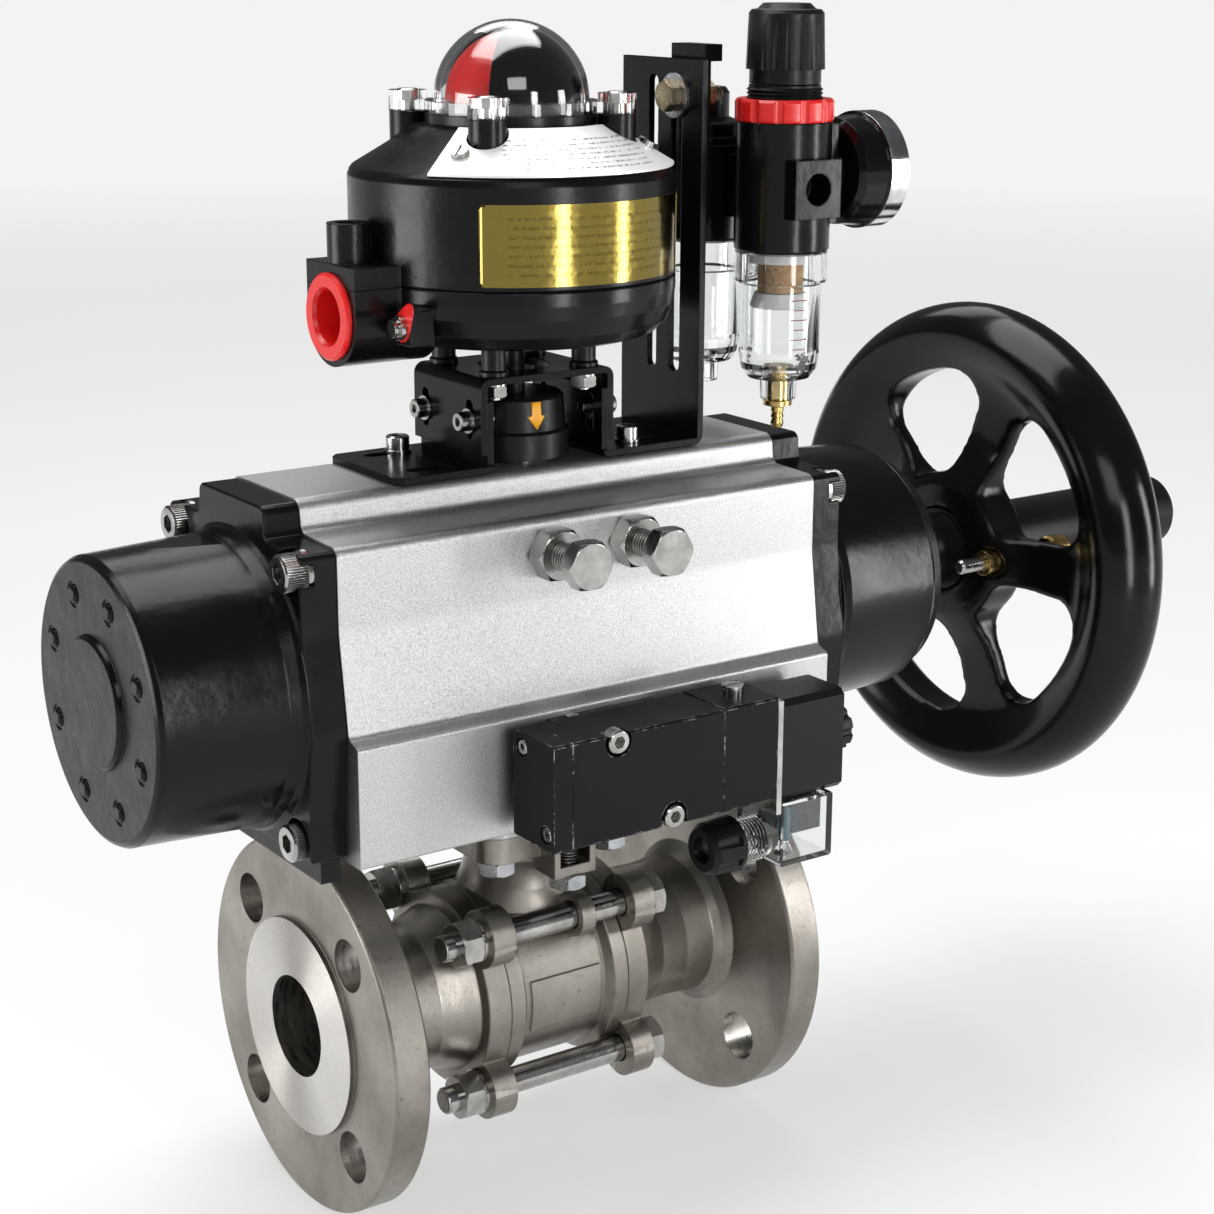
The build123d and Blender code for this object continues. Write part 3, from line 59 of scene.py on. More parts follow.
class Look:
    """A Principled material with short ways to add noise, bump and colour changes."""

    def __init__(self, name, colour, rough, metal=0.0, **constants):
        self.mat = bpy.data.materials.new(name)
        self.mat.use_nodes = True
        self.nodes = self.mat.node_tree.nodes
        self.links = self.mat.node_tree.links
        self.shader = self.nodes["Principled BSDF"]
        self.shader.inputs["Base Color"].default_value = (*colour, 1.0)
        self.shader.inputs["Roughness"].default_value = rough
        self.shader.inputs["Metallic"].default_value = metal
        for socket, value in constants.items():
            self.shader.inputs[socket.replace("_", " ")].default_value = value
        self.coords = self.add("ShaderNodeTexCoord").outputs["Object"]
        self.normal = None

    def add(self, kind, **settings):
        node = self.nodes.new(kind)
        for key, value in settings.items():
            setattr(node, key, value)
        return node

    def put(self, node, socket, value):
        """Links an output, or sets a constant, on an input socket."""
        target = node.inputs[socket]
        if isinstance(value, bpy.types.NodeSocket):
            self.links.new(value, target)
        else:
            target.default_value = value
        return node

    def stretched(self, scale, source=None):
        """Coordinates scaled by a different amount along each axis."""
        node = self.add("ShaderNodeMapping")
        self.put(node, "Vector", source or self.coords)
        node.inputs["Scale"].default_value = scale
        return node.outputs["Vector"]

    def noise(self, scale, detail=2.0, rough=0.5, at=None):
        node = self.add("ShaderNodeTexNoise")
        self.put(node, "Vector", at or self.coords)
        self.put(node, "Scale", scale)
        self.put(node, "Detail", detail)
        self.put(node, "Roughness", rough)
        return node.outputs["Fac"]

    def cells(self, scale, at=None):
        node = self.add("ShaderNodeTexVoronoi")
        self.put(node, "Vector", at or self.coords)
        self.put(node, "Scale", scale)
        return node.outputs["Distance"]

    def remap(self, value, low, high, to_low=0.0, to_high=1.0):
        node = self.add("ShaderNodeMapRange")
        self.put(node, "Value", value)
        limits = {"From Min": low, "From Max": high, "To Min": to_low, "To Max": to_high}
        for socket, number in limits.items():
            node.inputs[socket].default_value = number
        return node.outputs["Result"]

    def math(self, operation, a, b=0.0):
        node = self.add("ShaderNodeMath", operation=operation)
        self.put(node, 0, a)
        self.put(node, 1, b)
        return node.outputs[0]

    def blend(self, factor, a, b):
        """Mix of two colours, given as triples or as linked outputs."""
        node = self.add("ShaderNodeMix", data_type="RGBA")
        self.put(node, 0, factor)
        for socket, value in ((6, a), (7, b)):
            self.put(node, socket, value if isinstance(value, bpy.types.NodeSocket) else (*value, 1.0))
        return node.outputs[2]

    def colour(self, value):
        self.links.new(value, self.shader.inputs["Base Color"])
        return self

    def roughness(self, value):
        self.links.new(value, self.shader.inputs["Roughness"])
        return self

    def soft_edges(self, radius):
        """Rounds sharp corners in the shading, as casting, painting and handling do."""
        node = self.add("ShaderNodeBevel", samples=4)
        node.inputs["Radius"].default_value = radius
        self.normal = node.outputs["Normal"]
        self.links.new(self.normal, self.shader.inputs["Normal"])
        return self

    def corners(self, radius):
        """1 on the strips along sharp corners and 0 on the flats."""
        bevel = self.add("ShaderNodeBevel", samples=6)
        bevel.inputs["Radius"].default_value = radius
        flat = self.add("ShaderNodeNewGeometry")
        dot = self.add("ShaderNodeVectorMath", operation="DOT_PRODUCT")
        self.put(dot, 0, bevel.outputs["Normal"])
        self.put(dot, 1, flat.outputs["Normal"])
        return self.remap(dot.outputs["Value"], 0.93, 0.99, 1.0, 0.0)

    def product(self, *values):
        total = values[0]
        for value in values[1:]:
            total = self.math("MULTIPLY", total, value)
        return total

    def band(self, value, low, high, soft=0.0001):
        """1 between two limits and 0 outside them."""
        rise = self.remap(value, low - soft, low + soft)
        fall = self.remap(value, high - soft, high + soft, 1.0, 0.0)
        return self.math("MULTIPLY", rise, fall)

    def polar(self, a, b):
        """(radius, angle) of two coordinates."""
        radius = self.math("SQRT", self.math("ADD", self.math("POWER", a, 2.0), self.math("POWER", b, 2.0)))
        return radius, self.math("ARCTAN2", b, a)

    def bump(self, height, distance, strength=1.0):
        node = self.add("ShaderNodeBump")
        self.put(node, "Height", height)
        self.put(node, "Distance", distance)
        self.put(node, "Strength", strength)
        if self.normal is not None:
            self.put(node, "Normal", self.normal)
        self.normal = node.outputs["Normal"]
        self.links.new(self.normal, self.shader.inputs["Normal"])
        return self

    def axes(self, source=None):
        node = self.add("ShaderNodeSeparateXYZ")
        self.put(node, 0, source or self.coords)
        return node.outputs


def cast_stainless():
    """Bead-blasted investment casting: warm grey, fine grain, faint stains."""
    look = Look("cast_stainless", (0.30, 0.28, 0.255), 0.42, 1.0).soft_edges(0.0009)
    patches = look.noise(28, 5, 0.6)
    grain = look.noise(1500, 2, 0.6)
    tone = look.blend(look.remap(patches, 0.33, 0.70), (0.195, 0.180, 0.158), (0.35, 0.328, 0.295))
    speck = look.remap(look.noise(420, 3, 0.7), 0.62, 0.75)
    look.colour(look.blend(speck, tone, (0.135, 0.123, 0.108)))
    look.roughness(look.remap(patches, 0.3, 0.7, 0.44, 0.32))
    look.bump(grain, 0.00012, 0.5)
    look.bump(look.noise(160, 3, 0.5), 0.0003, 0.5)
    return look.mat


def machined_face():
    """Raised face with the fine turned grooves a gasket seals on."""
    look = Look("machined_face", (0.56, 0.54, 0.51), 0.3, 1.0)
    axes = look.axes()
    radius, angle = look.polar(axes[1], axes[2])
    groove = look.math("SINE", look.math("MULTIPLY", radius, 2 * math.pi / 0.0009))
    look.bump(groove, 0.00009, 0.8)
    # painted reflection: the fans of light that turned rings throw are painted into the colour as bright and
    # dark sectors that turn with the angle round the bore
    painted_fan_reflections = look.math("SINE", look.math("ADD", look.math("MULTIPLY", angle, 2.0), 0.9))
    painted_fan_reflections = look.math("ADD", look.math("MULTIPLY", painted_fan_reflections, 0.35), look.noise(9, 2, 0.5))
    look.colour(look.blend(look.remap(painted_fan_reflections, 0.2, 0.85), (0.38, 0.36, 0.335), (0.66, 0.64, 0.61)))
    look.roughness(look.remap(groove, -1, 1, 0.24, 0.36))
    return look.mat


def drilled_wall():
    look = Look("drilled_wall", (0.36, 0.34, 0.31), 0.28, 1.0)
    streaks = look.noise(90, 3, 0.5, look.stretched((6.0, 1.0, 1.0)))
    look.colour(look.blend(streaks, (0.30, 0.285, 0.26), (0.52, 0.50, 0.465)))
    look.roughness(look.remap(streaks, 0.3, 0.7, 0.22, 0.4))
    look.bump(streaks, 0.0001, 0.5)
    return look.mat


def bright_steel(name, colour, rough, grain=900):
    """Rolled or turned fastener steel with fine scuffs."""
    look = Look(name, colour, rough, 1.0).soft_edges(0.0003)
    scuffs = look.noise(grain, 4, 0.65)
    patches = look.noise(90, 3, 0.6)
    dark = tuple(0.6 * c for c in colour)
    look.colour(look.blend(look.remap(patches, 0.35, 0.7), dark, colour))
    look.roughness(look.remap(scuffs, 0.3, 0.7, rough * 0.75, rough * 1.4))
    look.bump(scuffs, 0.00006, 0.45)
    return look.mat


def threaded(axis, pitch, colour, rough=0.3):
    """Rolled thread along one axis: painted highlight on the crests and painted shade in the roots."""
    look = Look(f"thread_{axis}_{round(pitch * 1e5)}", colour, rough, 1.0)
    along = look.axes()["XYZ".index(axis)]
    wave = look.math("SINE", look.math("MULTIPLY", along, 2 * math.pi / pitch))
    look.bump(wave, 0.0005, 1.0)
    # the colour follows the thread wave: painted shade darkens the roots and a painted highlight brightens the
    # crests, with grime noise mixed in
    dark = tuple(0.12 * c for c in colour)
    grime = look.noise(500, 3, 0.6)
    crest_light_and_grime = look.math("ADD", look.remap(wave, -0.7, 0.6), look.remap(grime, 0.3, 0.7, -0.2, 0.2))
    look.colour(look.blend(crest_light_and_grime, dark, colour))
    return look.mat


def knurled():
    """Straight knurl round the heads of the end cap screws."""
    look = Look("knurled_head", (0.60, 0.595, 0.58), 0.24, 1.0).soft_edges(0.0003)
    axes = look.axes()
    across = look.math("SUBTRACT", look.math("ABSOLUTE", axes[1]), CAP_SCREW_Y)
    up = look.math("SUBTRACT", look.math("ABSOLUTE", look.math("SUBTRACT", axes[2], 0.13625)), 0.04675)
    radius, angle = look.polar(across, up)
    ridges = look.math("SINE", look.math("MULTIPLY", angle, 44.0))
    look.bump(ridges, 0.0004, 0.9)
    # painted shade in the knurl grooves and painted highlight on the ridges, following the same wave as the
    # bump
    look.colour(look.blend(look.remap(ridges, -0.8, 0.5), (0.10, 0.098, 0.095), (0.66, 0.65, 0.63)))
    return look.mat


def anodised_body():
    """Satin silver anodised extrusion with a fine sparkling grain and faint draw lines."""
    look = Look("anodised_body", (0.62, 0.62, 0.615), 0.42, 1.0).soft_edges(0.0006)
    grain = look.noise(1500, 2, 0.7)
    lines = look.noise(1.0, 4, 0.6, look.stretched((8.0, 900.0, 900.0)))
    cloud = look.noise(14, 3, 0.5)
    tone = look.blend(look.remap(grain, 0.3, 0.7), (0.33, 0.33, 0.328), (0.56, 0.56, 0.557))
    look.colour(look.blend(look.remap(cloud, 0.3, 0.7, 0.0, 0.25), tone, (0.42, 0.42, 0.418)))
    look.roughness(look.remap(grain, 0.3, 0.7, 0.34, 0.5))
    look.bump(grain, 0.00014, 0.5)
    look.bump(lines, 0.00005, 0.3)
    return look.mat


def sawn_end():
    look = Look("sawn_end", (0.44, 0.44, 0.43), 0.38, 1.0).soft_edges(0.0005)
    marks = look.noise(1.0, 3, 0.7, look.stretched((300.0, 900.0, 40.0)))
    look.colour(look.blend(marks, (0.20, 0.20, 0.195), (0.48, 0.48, 0.47)))
    look.bump(marks, 0.00015, 0.6)
    return look.mat


def gloss_black(name="gloss_black", rough=0.2, peel=1.0, edge=0.0008):
    """Glossy black paint over a casting: orange peel, pinholes and specks of dust in the film."""
    look = Look(name, (0.003, 0.003, 0.0033), rough, Specular_IOR_Level=0.20).soft_edges(edge)
    look.bump(look.noise(330, 3, 0.5), 0.00014 * peel, 0.5)
    look.bump(look.noise(38, 2, 0.5), 0.0007 * peel, 0.45)
    dots = look.remap(look.cells(95), 0.0, 0.055, 1.0, 0.0)
    gate = look.remap(look.noise(21, 2, 0.5), 0.60, 0.64)
    look.bump(look.math("MULTIPLY", dots, gate), 0.0006 * peel, 0.8)
    haze = look.noise(60, 4, 0.6)
    look.roughness(look.remap(haze, 0.3, 0.75, rough * 0.85, rough * 1.35))
    look.colour(look.blend(haze, (0.0022, 0.0022, 0.0025), (0.0045, 0.0045, 0.005)))
    return look.mat


def rough_paint():
    """Black paint over an unmachined casting: bumpier and duller than the rest."""
    look = Look("rough_paint", (0.005, 0.005, 0.0055), 0.3, Specular_IOR_Level=0.20).soft_edges(0.0008)
    look.bump(look.noise(160, 4, 0.6), 0.0006, 0.6)
    look.bump(look.cells(70), 0.0008, 0.3)
    haze = look.noise(90, 4, 0.6)
    look.roughness(look.remap(haze, 0.3, 0.75, 0.24, 0.42))
    look.colour(look.blend(haze, (0.004, 0.004, 0.0045), (0.012, 0.012, 0.0125)))
    return look.mat


def black_sheet():
    """Glossy black coated sheet steel, flat with a very fine texture and a few rub marks."""
    look = Look("black_sheet", (0.004, 0.004, 0.0045), 0.2, Specular_IOR_Level=0.19).soft_edges(0.0006)
    look.bump(look.noise(900, 2, 0.5), 0.00003, 0.4)
    look.bump(look.noise(26, 2, 0.5), 0.0003, 0.3)
    worn = look.remap(look.noise(85, 6, 0.75), 0.70, 0.8)
    look.colour(look.blend(worn, (0.003, 0.003, 0.0035), (0.018, 0.017, 0.016)))
    look.roughness(look.remap(look.noise(120, 3, 0.6), 0.3, 0.7, 0.16, 0.27))
    return look.mat


def anodised_black():
    """Matte black anodising on machined aluminium."""
    look = Look("anodised_black", (0.006, 0.006, 0.0075), 0.42, 0.0, Specular_IOR_Level=0.12)
    grain = look.noise(2200, 2, 0.6)
    smudge = look.noise(40, 4, 0.6)
    dark = look.blend(smudge, (0.003, 0.003, 0.004), (0.0075, 0.0075, 0.0095))
    # handling takes the film off the corners in places
    rubbed = look.remap(look.noise(210, 5, 0.75), 0.52, 0.58)
    look.colour(look.blend(look.math("MULTIPLY", look.corners(0.0005), rubbed), dark, (0.42, 0.41, 0.40)))
    scratches = look.remap(look.noise(1.0, 2, 0.6, look.stretched((60.0, 900.0, 260.0))), 0.70, 0.74)
    look.roughness(look.remap(smudge, 0.3, 0.7, 0.38, 0.5))
    look.bump(look.math("ADD", grain, scratches), 0.00006, 0.4)
    return look.mat


def clear_plastic(name="clear_plastic", tint=(0.96, 0.975, 0.97), rough=0.03):
    look = Look(name, tint, rough, 0.0, Transmission_Weight=1.0, IOR=1.49)
    flow = look.noise(40, 3, 0.5)
    look.bump(flow, 0.0004, 0.25)
    look.roughness(look.remap(look.noise(300, 3, 0.6), 0.4, 0.8, rough, rough * 3))
    return look.mat


def moulded(name, colour, rough, spread=0.25, grain=700, edge=0.0003, **constants):
    """Moulded plastic: slight colour drift and a fine surface texture."""
    look = Look(name, colour, rough, 0.0, **constants).soft_edges(edge)
    drift = look.noise(35, 3, 0.5)
    texture = look.noise(grain, 3, 0.6)
    dark = tuple(c * (1 - spread) for c in colour)
    look.colour(look.blend(drift, dark, colour))
    look.roughness(look.remap(texture, 0.3, 0.7, rough * 0.85, rough * 1.25))
    look.bump(texture, 0.00008, 0.4)
    return look.mat


def rotor_sectors():
    """Position indicator: opposite quarters red for shut, the other two yellow for open."""
    look = Look("rotor_sectors", (0.8, 0.02, 0.015), 0.3)
    axes = look.axes()
    radius, angle = look.polar(look.math("SUBTRACT", axes[0], STEM_X), axes[1])
    doubled = look.math("MULTIPLY", look.math("SUBTRACT", angle, math.radians(39.6)), 2.0)
    is_open = look.math("GREATER_THAN", look.math("SINE", doubled), 0.0)
    drift = look.noise(60, 3, 0.5)
    red = look.blend(drift, (0.62, 0.008, 0.008), (0.86, 0.02, 0.015))
    look.colour(look.blend(is_open, red, (0.85, 0.55, 0.02)))
    look.bump(look.noise(800, 2, 0.5), 0.00005, 0.4)
    return look.mat


def sintered_bronze():
    look = Look("sintered_bronze", (0.47, 0.28, 0.12), 0.55, 0.6)
    grains = look.cells(1500)
    # each grain is painted light in its middle and dark towards its edges: painted highlight on the grains and
    # painted shade between them
    look.colour(look.blend(grains, (0.60, 0.37, 0.17), (0.24, 0.13, 0.05)))
    look.bump(grains, 0.0003, 0.8)
    return look.mat


def print_rows(look, along, across, pitch, stretch, density):
    """Rows of broken marks, in the places where a label carries small print."""
    phase = look.math("FRACT", look.math("MULTIPLY", across, 1 / pitch))
    return look.product(look.band(phase, 0.30, 0.64, 0.03),
                        look.remap(look.noise(1.0, 3, 0.8, look.stretched(stretch)), density, density + 0.03))


def gold_foil():
    """Gold foil label with small creases and rows of broken dark marks in place of print."""
    look = Look("gold_foil", (0.80, 0.62, 0.20), 0.14, 1.0)
    axes = look.axes()
    side = look.math("ABSOLUTE", look.math("SUBTRACT", axes[0], STEM_X + 0.002))
    marks = print_rows(look, axes[0], axes[2], 0.0031, (620.0, 620.0, 345.0), 0.47)
    inside = look.remap(side, 0.0345, 0.0347, 1.0, 0.0)
    marks = look.product(marks, look.band(axes[2], 0.2735, 0.2955), inside)
    look.colour(look.blend(look.math("MULTIPLY", marks, 0.4), (0.24, 0.185, 0.045), (0.06, 0.045, 0.01)))
    look.bump(look.noise(75, 3, 0.6), 0.0005, 0.3)
    look.roughness(look.remap(look.noise(500, 2, 0.5), 0.3, 0.7, 0.10, 0.2))
    return look.mat


def printed_plate():
    """Satin aluminium plate with rows of small dark marks in place of print."""
    look = Look("printed_plate", (0.74, 0.73, 0.72), 0.34, 0.25)
    axes = look.axes()
    x = look.math("SUBTRACT", axes[0], STEM_X)
    radius, angle = look.polar(x, axes[1])
    marks = print_rows(look, x, radius, 0.0023, (900.0, 480.0, 200.0), 0.49)
    inside = look.remap(look.math("ABSOLUTE", x), 0.0275, 0.028, 1.0, 0.0)
    marks = look.product(marks, look.band(radius, 0.0385, 0.0552), inside)
    look.colour(look.blend(look.math("MULTIPLY", marks, 0.8), (0.74, 0.73, 0.72), (0.03, 0.03, 0.03)))
    look.bump(look.noise(1200, 2, 0.6), 0.00005, 0.35)
    return look.mat


def dial_face():
    """White dial with black graduations over three quarters of a turn and a thin green arc."""
    look = Look("dial_face", (0.82, 0.82, 0.80), 0.4)
    axes = look.axes()
    up = look.math("SUBTRACT", axes[2], GAUGE_Z)
    radius, angle = look.polar(up, look.math("SUBTRACT", axes[1], FILTER[1]))
    phase = look.math("FRACT", look.math("MULTIPLY", angle, 40 / (2 * math.pi)))
    tick = look.product(look.band(phase, 0.38, 0.62, 0.04), look.band(radius, 0.0138, 0.0164))
    major = look.math("FRACT", look.math("MULTIPLY", angle, 8 / (2 * math.pi)))
    major = look.product(look.band(major, 0.46, 0.54, 0.01), look.band(radius, 0.0118, 0.0164))
    scale = look.remap(look.math("ABSOLUTE", angle), 2.37, 2.38, 1.0, 0.0)
    ink = look.product(look.math("MAXIMUM", tick, major), scale)
    arc = look.product(look.band(radius, 0.0167, 0.0173), look.band(angle, -0.6, 1.2))
    paper = look.blend(look.noise(300, 2, 0.5), (0.78, 0.78, 0.76), (0.84, 0.84, 0.82))
    look.colour(look.blend(ink, look.blend(arc, paper, (0.02, 0.30, 0.06)), (0.01, 0.01, 0.01)))
    look.bump(look.noise(900, 2, 0.5), 0.00003, 0.3)
    return look.mat


def floor_look():
    """Pale studio floor that glows like a lit white sweep, a little more further out."""
    look = Look("floor_paint", (0.4, 0.4, 0.4), 0.6, 0.0, Emission_Strength=1.0, Specular_IOR_Level=0.1)
    axes = look.axes()
    radius, angle = look.polar(axes[0], axes[1])
    glow = look.blend(look.remap(radius, 0.4, 4.0), (0.50, 0.50, 0.50), (0.84, 0.84, 0.84))
    look.links.new(glow, look.shader.inputs["Emission Color"])
    look.colour(look.blend(look.noise(3, 3, 0.5), (0.36, 0.36, 0.36), (0.42, 0.42, 0.42)))
    return look.mat


STEEL = (0.50, 0.49, 0.47)
M = {
    "cast": cast_stainless(), "machined": machined_face(), "drilled": drilled_wall(),
    "steel": bright_steel("turned_stainless", (0.55, 0.54, 0.52), 0.24),
    "zinc": bright_steel("zinc_plate", (0.50, 0.52, 0.54), 0.27),
    "bolt": bright_steel("stainless_bolt", (0.55, 0.54, 0.52), 0.16),
    "yellow_zinc": bright_steel("yellow_zinc", (0.42, 0.34, 0.22), 0.3),
    "polished": bright_steel("polished_stainless", (0.78, 0.78, 0.77), 0.08),
    "spring": bright_steel("spring_steel", (0.16, 0.16, 0.165), 0.35),
    "raw_aluminium": bright_steel("cast_aluminium", (0.58, 0.58, 0.57), 0.4, 500),
    "chrome": bright_steel("chrome_rim", (0.80, 0.80, 0.81), 0.09),
    "brass": bright_steel("turned_brass", (0.66, 0.46, 0.17), 0.22, 700),
    "thread_x": threaded("X", 0.0015, STEEL), "thread_y": threaded("Y", 0.0015, STEEL),
    "thread_z": threaded("Z", 0.00125, STEEL), "zinc_thread": threaded("X", 0.001, (0.42, 0.34, 0.22)),
    "knurled": knurled(), "anodised": anodised_body(), "sawn": sawn_end(),
    "gloss_black": gloss_black(), "wheel_black": gloss_black("wheel_black", 0.14, 0.4, 0.002),
    "box_black": gloss_black("box_black", 0.25, 1.1), "rough_paint": rough_paint(), "sheet": black_sheet(),
    "anodised_black": anodised_black(),
    "clear": clear_plastic(), "clear_dome": clear_plastic("clear_dome", (0.98, 0.985, 0.985), 0.015),
    "satin_black": moulded("satin_black", (0.006, 0.006, 0.007), 0.32, 0.3, 900, Specular_IOR_Level=0.20),
    "gloss_plastic": moulded("gloss_plastic", (0.003, 0.003, 0.0035), 0.12, 0.3, 500, Specular_IOR_Level=0.28),
    "red": moulded("red_plastic", (0.70, 0.014, 0.012), 0.28, 0.2, 600),
    "rotor": rotor_sectors(),
    "white": moulded("white_plastic", (0.80, 0.80, 0.78), 0.4, 0.08, 600),
    "grey": moulded("grey_plastic", (0.10, 0.105, 0.115), 0.4, 0.2, 600),
    "board": moulded("connector_insert", (0.012, 0.016, 0.03), 0.25, 0.4, 300),
    "lamp": moulded("lamp_blue", (0.01, 0.12, 0.20), 0.2, 0.5, 400),
    "yellow": moulded("yellow_arrow", (0.80, 0.36, 0.015), 0.35, 0.12, 900),
    "scale_red": moulded("scale_red", (0.62, 0.06, 0.06), 0.4, 0.3, 900),
    "bronze": sintered_bronze(), "gold": gold_foil(), "plate": printed_plate(), "dial": dial_face(),
    "floor": floor_look(),
}


# ---------------------------------------------------------------- painting the CAD nodes

def paint(node, base, *rules):
    """Gives a CAD node its base material, and faces that meet a rule another one.

    A rule is (material, test), where test takes a face's centre and normal."""
    mesh = NODES[node].data
    mesh.materials.clear()
    mesh.materials.append(M[base])
    for material, _ in rules:
        mesh.materials.append(M[material])
    for face in mesh.polygons:
        face.material_index = 0
        for number, (_, test) in enumerate(rules, 1):
            if test(face.center, face.normal):
                face.material_index = number


def ring_of(axis_point, centre):
    """Distance of a point from an axis along X through (y, z)."""
    return math.hypot(centre.y - axis_point[0], centre.z - axis_point[1])


def ring_of_z(axis_point, centre):
    """Distance of a point from an upright axis through (x, y)."""
    return math.hypot(centre.x - axis_point[0], centre.y - axis_point[1])


def corner_radius(at, centre):
    """Distance to the nearest of four axes along X, at (+-at, +-at) in Y and Z."""
    return min(ring_of((y * at, z * at), centre) for y in (-1, 1) for z in (-1, 1))


def paint_valve():
    def bore_or_hole(c, n):
        in_hole = abs(corner_radius(HOLE_AT, c) - 0.0095) < 0.0008
        return in_hole or ring_of((0, 0), c) < 0.0195

    paint("inlet_cap", "cast", ("machined", lambda c, n: c.x < 0.0005 and n.x < -0.9),
          ("drilled", bore_or_hole))
    paint("outlet_cap", "cast", ("machined", lambda c, n: c.x > 0.1915 and n.x > 0.9),
          ("drilled", bore_or_hole))
    paint("valve_body", "cast")
    paint("ball", "polished")
    paint("stem", "steel")
    paint("seats", "white")
    paint("gland_nut", "steel")

    def tie_radius(c):
        return corner_radius(TIE_AT, c)

    def tie_thread(c, n):
        return tie_radius(c) < 0.0051 and (c.x < 0.0575 or c.x > 0.1245)

    def pad_thread(c, n):
        return abs(n.z) < 0.5 and ring_of_z((STEM_X - 0.002, -0.0375), c) < 0.0041

    paint("tie_bolts", "bolt", ("thread_x", tie_thread))
    paint("pad_bolts", "zinc", ("thread_z", pad_thread))


def paint_actuator():
    paint("actuator_body", "anodised", ("sawn", lambda c, n: abs(n.x) > 0.9 and abs(c.x - STEM_X) > 0.1))
    paint("spring_cap", "gloss_black", ("rough_paint", lambda c, n: n.x < -0.9 and c.x < -0.0695))
    paint("drive_cap", "gloss_black", ("rough_paint", lambda c, n: c.x > STEM_X + 0.167))
    paint("handwheel", "wheel_black")
    paint("stem_cover", "satin_black")

    def cap_screw_radius(c):
        return min(ring_of((y, z), c) for y in (-CAP_SCREW_Y, CAP_SCREW_Y) for z in CAP_SCREW_Z)

    def knurl(c, n):
        return abs(n.x) < 0.3 and 0.0060 < cap_screw_radius(c) < 0.0067

    paint("cap_screws", "bolt", ("knurled", knurl))
    paint("left_piston", "raw_aluminium")
    paint("right_piston", "raw_aluminium")
    paint("pinion", "steel")
    paint("left_spring", "spring")
    paint("right_spring", "spring")
    paint("stop_bolts", "bolt", ("thread_y", lambda c, n: abs(n.y) < 0.5 and min(
        math.hypot(c.x - STEM_X - x, c.z - 0.178) for x in (-0.017, 0.017)) < 0.0052))
    paint("indicator_cup", "satin_black")
    paint("wheel_bushes", "satin_black", ("brass", lambda c, n: c.y < -0.02))
    paint("jack_screw", "steel")
    paint("lock_pin", "steel", ("brass", lambda c, n: c.x > 0.3405))


def paint_switch_box():
    for node in ("short_foot", "upright_foot", "bridge"):
        paint(node, "sheet")

    def service_bolt(c, n):
        return c.z > 0.3

    def service_thread(c, n):
        return c.z > 0.3 and c.x > 0.1665 and ring_of((-0.009, 0.328), c) < 0.0031

    def service_washer(c, n):
        return c.z > 0.3 and 0.1592 < c.x < 0.1612

    paint("bracket_screws", "bolt", ("yellow_zinc", service_bolt), ("zinc_thread", service_thread),
          ("zinc", service_washer))
    paint("box_posts", "bolt", ("satin_black", lambda c, n: c.z > 0.2351))
    paint("switch_base", "gloss_black")
    paint("switch_cover", "box_black")
    paint("dome", "clear_dome")
    paint("dome_mask", "gloss_plastic")
    paint("rotor", "rotor", ("satin_black", lambda c, n: c.z < 0.3282))
    paint("cam_shaft", "satin_black")
    paint("microswitches", "grey")
    paint("nameplate", "plate")
    paint("conduit_plug", "red")
    paint("box_screws", "bolt")


def paint_air_unit():
    paint("frl_bracket", "gloss_black")
    paint("regulator_body", "gloss_black")
    paint("lubricator_body", "gloss_black")
    paint("regulator_knob", "satin_black")
    paint("regulator_ring", "satin_black",
          ("red", lambda c, n: 0.319 < c.z < 0.3273 and ring_of_z(FILTER, c) > 0.01325))
    paint("bowls", "clear")
    paint("filter_element", "bronze", ("white", lambda c, n: c.z < 0.2573 or ring_of_z(FILTER, c) > 0.0091
                                       or ring_of_z(FILTER, c) < 0.003))
    paint("drain_valve", "brass")

    def rim(c, n):
        radius = ring_of((FILTER[1], GAUGE_Z), c)
        return c.x > 0.2265 and radius > 0.0205 or c.x > 0.2335

    def dial(c, n):
        return 0.2301 < c.x < 0.2312 and ring_of((FILTER[1], GAUGE_Z), c) < 0.01895

    paint("gauge_case", "gloss_plastic", ("chrome", rim), ("dial", dial))
    paint("gauge_needle", "red")


def paint_solenoid():
    for node in ("solenoid_body", "solenoid_cover", "pilot_block"):
        paint(node, "anodised_black")
    paint("override_button", "bolt")
    paint("spool", "raw_aluminium")
    paint("coil", "satin_black", ("bolt", lambda c, n: c.x < 0.1515))
    paint("coil_nut", "satin_black")
    paint("connector", "clear", ("board", lambda c, n: 0.1589 < c.x < 0.1731 and -0.0861 < c.y < -0.0689
                                 and 0.0679 < c.z < 0.0801))
    paint("cord_nut", "satin_black")
    paint("solenoid_screws", "bolt")


def soften_wheel():
    """The wheel is a painted casting, so every edge of its spokes is well rounded."""
    wheel = NODES["handwheel"]
    skin = wheel.modifiers.new("skin", "REMESH")
    skin.mode = "VOXEL"
    skin.voxel_size = 0.0012
    skin.use_smooth_shade = True
    soften = wheel.modifiers.new("soften", "SMOOTH")
    soften.factor = 0.5
    soften.iterations = 10


paint_valve()
paint_actuator()
paint_switch_box()
paint_air_unit()
paint_solenoid()
soften_wheel()


# ---------------------------------------------------------------- pieces that are only looks

def add_piece(name, verts, faces, material, body, slot):
    mesh = bpy.data.meshes.new(name)
    mesh.from_pydata(verts, [], faces)
    mesh.materials.append(M[material])
    mesh.polygons.foreach_set("use_smooth", [True] * len(mesh.polygons))
    mesh.update()
    piece = bpy.data.objects.new(name, mesh)
    bpy.context.scene.collection.objects.link(piece)
    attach(piece, body)
    return piece


